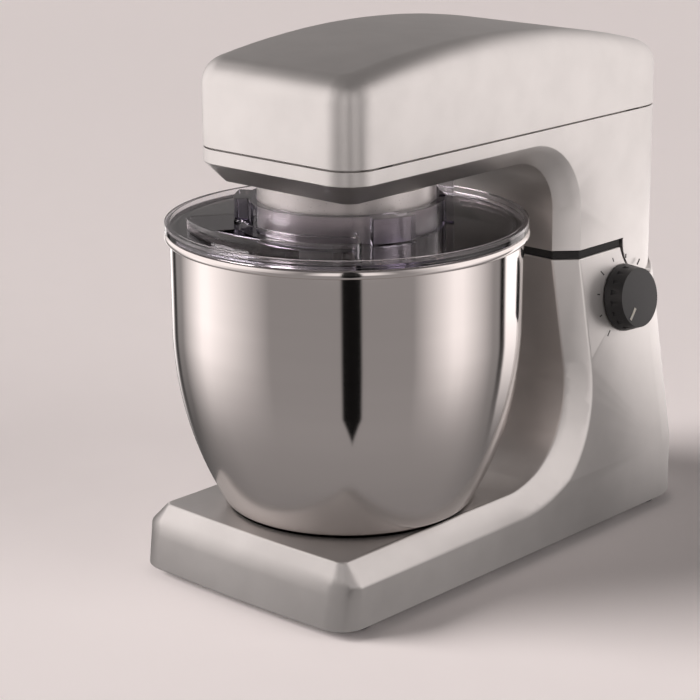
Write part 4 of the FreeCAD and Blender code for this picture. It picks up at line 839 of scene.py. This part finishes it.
def panel_ramp(tree, bearing, panels, between):
    """Brightness round the tent, from its panels and the grey between them."""
    ramp = node_in(tree, "ShaderNodeValToRGB", {"Fac": bearing})
    elements = ramp.color_ramp.elements
    elements[0].position, elements[1].position = 0.0, 1.0
    stops = []
    for _name, start, full_from, full_to, end, brightness in panels:
        stops += [(start, between), (full_from, brightness), (full_to, brightness), (end, between)]
    for end in elements:
        end.color = (between, between, between, 1.0)
    for degrees, brightness in stops:
        stop = elements.new(0.5 + degrees / 360.0)
        stop.color = (brightness, brightness, brightness, 1.0)
    return ramp.outputs["Color"]


def between_values(tree, share, first, second):
    mix = node_in(tree, "ShaderNodeMix", {0: share, 2: first, 3: second}, data_type="FLOAT")
    return mix.outputs[0]


def share_of(tree, value, low, high):
    made = node_in(tree, "ShaderNodeMapRange", {"Value": value, "From Min": low, "From Max": high})
    return made.outputs["Result"]


# Dark gap between the panels: degrees from the camera's bearing, and metres out and up the tent's wall.
GAP_BEARING = 2.0
GAP_HALF_WIDTH = 5.2
GAP_SOFTNESS = 0.8
GAP_POINT = 0.235
GAP_FULL = 0.32
GAP_GLOW = 0.02


def camera_gap(tree, bearing, along):
    """Share of light beside the gap that the camera looks through, which narrows to a point low down."""
    middle = 0.5 + GAP_BEARING / 360.0
    soft = GAP_SOFTNESS / 360.0
    aside = node_in(tree, "ShaderNodeMath", {0: bearing, 1: middle}, operation="SUBTRACT")
    aside = node_in(tree, "ShaderNodeMath", {0: aside.outputs[0]}, operation="ABSOLUTE")
    half = node_in(tree, "ShaderNodeMapRange", {"Value": along, "From Min": GAP_POINT, "From Max": GAP_FULL,
                                                "To Min": -soft, "To Max": GAP_HALF_WIDTH / 360.0})
    edges = []
    for side in (-soft, soft):
        edges.append(node_in(tree, "ShaderNodeMath", {0: half.outputs[0], 1: side}, operation="ADD").outputs[0])
    gap = node_in(tree, "ShaderNodeMapRange", {"Value": aside.outputs[0], "From Min": edges[0],
                                               "From Max": edges[1], "To Min": GAP_GLOW, "To Max": 1.0})
    return gap.outputs["Result"]


# Where the tent's floor fades into its wall, out and up in metres, and where the low panels fade into the high
# ones; the ceiling's fade is in shares of the tent's height, and the floor's in shares of its radius.
WALL_START = 0.15
WALL_BEYOND_RADIUS = 0.12
WALL_FADE = 2.2
LOW_PANEL_TOP, HIGH_PANEL_FOOT = 0.17, 0.24
CEILING_START, CEILING_FULL = 0.6, 0.9
BACK_FLOOR_END, FRONT_FLOOR_START = -0.4, 0.2


def tent_finish(studio, tint):
    """Glow of the light tent: panels by bearing, narrower low down, fading into a grey floor."""
    material = bpy.data.materials.new("tent_panels")
    material.use_nodes = True
    tree = material.node_tree
    tree.nodes.clear()
    place = node_in(tree, "ShaderNodeTexCoord").outputs["Object"]
    parts = node_in(tree, "ShaderNodeSeparateXYZ", {"Vector": place}).outputs
    turn = node_in(tree, "ShaderNodeMath", {0: parts["Y"], 1: parts["X"]}, operation="ARCTAN2")
    bearing = share_of(tree, turn.outputs[0], -math.pi, math.pi)
    flat = node_in(tree, "ShaderNodeCombineXYZ", {"X": parts["X"], "Y": parts["Y"]})
    reach = node_in(tree, "ShaderNodeVectorMath", {0: flat.outputs[0]}, operation="LENGTH")
    along = node_in(tree, "ShaderNodeMath", {0: reach.outputs["Value"], 1: parts["Z"]}, operation="ADD")
    rise = share_of(tree, along.outputs[0], WALL_START, studio.tent_radius + WALL_BEYOND_RADIUS)
    wall_share = node_in(tree, "ShaderNodeMath", {0: rise, 1: WALL_FADE}, operation="POWER").outputs[0]
    high_share = share_of(tree, parts["Z"], LOW_PANEL_TOP, HIGH_PANEL_FOOT)
    top_share = share_of(tree, parts["Z"], studio.tent_height * CEILING_START,
                         studio.tent_height * CEILING_FULL)
    low = panel_ramp(tree, bearing, LOW_PANELS, studio.tent_grey)
    high = panel_ramp(tree, bearing, HIGH_PANELS, studio.tent_high_grey)
    walls = between_values(tree, high_share, low, high)
    closed = between_values(tree, top_share, walls, studio.tent_ceiling)
    front_share = share_of(tree, parts["X"], studio.tent_radius * BACK_FLOOR_END,
                           studio.tent_radius * FRONT_FLOOR_START)
    ground = between_values(tree, front_share, studio.tent_back_floor, studio.tent_floor)
    whole = between_values(tree, wall_share, ground, closed)
    lit = node_in(tree, "ShaderNodeMath", {0: whole, 1: camera_gap(tree, bearing, along.outputs[0])},
                  operation="MULTIPLY")
    glow = node_in(tree, "ShaderNodeEmission", {"Color": (*tint, 1.0), "Strength": lit.outputs[0]})
    node_in(tree, "ShaderNodeOutputMaterial", {"Surface": glow.outputs[0]})
    return material


# The tent's sweep from floor to wall, in from the wall and up, and the hole in its floor.
TENT_SWEEP = ((0.08, 0.002), (0.03, 0.012), (0.0, 0.05), (0.0, 0.25))
TENT_HOLE = 0.05


def add_tent(studio, tint):
    """Light tent that only reflections see, turned towards the camera."""
    radius = studio.tent_radius
    profile = [(TENT_HOLE, TENT_SWEEP[0][1])]
    profile += [(radius - inset, height) for inset, height in TENT_SWEEP]
    profile += [(radius, studio.tent_height), (0.0, studio.tent_height)]
    tent = lathe("light_tent", profile, Vector((0.0, 0.0, 0.0)), STAGE_STEPS)
    tent.location = (BOWL_AXIS.x, BOWL_AXIS.y, 0.0)
    tent.rotation_euler.z = studio.azimuth - math.pi / 2
    tent.data.materials.append(tent_finish(studio, tint))
    tent.visible_camera = False
    tent.visible_diffuse = False
    tent.visible_transmission = False
    tent.visible_shadow = False


def add_room(studio, tint):
    """Even room light, dimmer where polished and clear surfaces mirror it."""
    world = bpy.data.worlds.new("studio_room")
    bpy.context.scene.world = world
    world.use_nodes = True
    tree = world.node_tree
    rays = node_in(tree, "ShaderNodeLightPath").outputs
    mirrored = node_in(tree, "ShaderNodeMath", {0: rays["Is Glossy Ray"], 1: rays["Is Transmission Ray"]},
                       operation="MAXIMUM")
    strength = between_values(tree, mirrored.outputs[0], studio.ambient, studio.room_mirrored)
    background = tree.nodes["Background"]
    background.inputs["Color"].default_value = (*tint, 1.0)
    tree.links.new(strength, background.inputs["Strength"])


def add_camera(studio):
    """Camera at the bearing, height and framing of the picture."""
    azimuth, elevation = studio.azimuth, studio.elevation
    back = Vector((math.sin(azimuth) * math.cos(elevation), -math.cos(azimuth) * math.cos(elevation),
                   math.sin(elevation)))
    level = Vector((math.cos(azimuth), math.sin(azimuth), 0.0))
    upward = back.cross(level)
    right = level * math.cos(studio.roll) + upward * math.sin(studio.roll)
    up = upward * math.cos(studio.roll) - level * math.sin(studio.roll)
    aim = Vector((BOWL_AXIS.x, BOWL_AXIS.y, studio.aim_height))
    lens = bpy.data.cameras.new("photo_view")
    lens.sensor_width = 36.0
    lens.lens = studio.focal_pixels * lens.sensor_width / IMAGE_SIDE
    lens.shift_x = (IMAGE_SIDE / 2 - studio.aim_column) / IMAGE_SIDE
    lens.shift_y = (studio.aim_row - IMAGE_SIDE / 2) / IMAGE_SIDE
    lens.clip_start = 0.05
    camera = link(bpy.data.objects.new("photo_view", lens))
    turn = Matrix((right, up, back)).transposed()
    camera.matrix_world = Matrix.Translation(aim + back * studio.distance) @ turn.to_4x4()
    bpy.context.scene.camera = camera


# Places of the soft lights, and the point they aim at, behind the bowl's axis and above the table.
LEFT_LIGHT_PLACE = (-1.1, -1.1, 0.95)
RIGHT_LIGHT_PLACE = (1.45, 0.40, 0.90)
LIGHT_AIM_BEHIND = 0.05
LIGHT_AIM_HEIGHT = 0.2


class MIXER_OT_studio(bpy.types.Operator):
    """Floor, light and camera"""

    bl_idname = "mixer.studio"
    bl_label = "Studio"

    def execute(self, context):
        studio = context.scene.mixer_studio
        colours = context.scene.mixer_colours
        tint = tuple(colours.light)
        add_floor(colours.floor)
        add_room(studio, tint)
        aim = (BOWL_AXIS.x, BOWL_AXIS.y + LIGHT_AIM_BEHIND, LIGHT_AIM_HEIGHT)
        add_light("light_left", LEFT_LIGHT_PLACE, aim, studio.left, studio.softness, tint)
        add_light("light_right", RIGHT_LIGHT_PLACE, aim, studio.right, studio.softness, tint)
        add_tent(studio, tint)
        add_camera(studio)
        context.scene.view_settings.view_transform = "Standard"
        return {"FINISHED"}


STEPS = (MIXER_OT_casings, MIXER_OT_bowl, MIXER_OT_guard, MIXER_OT_hub, MIXER_OT_controls, MIXER_OT_fittings,
         MIXER_OT_inside, MIXER_OT_studio)


class MIXER_PT_panel(bpy.types.Panel):
    """Lists the mixer's steps"""

    bl_label = "Mixer"
    bl_idname = "MIXER_PT_panel"
    bl_space_type = "VIEW_3D"
    bl_region_type = "UI"
    bl_category = "Mixer"

    def draw(self, context):
        for step in STEPS:
            self.layout.operator(step.bl_idname)


CLASSES = (MixerColours, MixerSizes, MixerStudio, *STEPS, MIXER_PT_panel)


def register():
    for item in CLASSES:
        bpy.utils.register_class(item)
    bpy.types.Scene.mixer_colours = PointerProperty(type=MixerColours)
    bpy.types.Scene.mixer_sizes = PointerProperty(type=MixerSizes)
    bpy.types.Scene.mixer_studio = PointerProperty(type=MixerStudio)


def unregister():
    del bpy.types.Scene.mixer_studio
    del bpy.types.Scene.mixer_sizes
    del bpy.types.Scene.mixer_colours
    for item in reversed(CLASSES):
        bpy.utils.unregister_class(item)


def main():
    register()
    for step in STEPS:
        group, name = step.bl_idname.split(".")
        getattr(getattr(bpy.ops, group), name)()


if __name__ == "__main__":
    main()
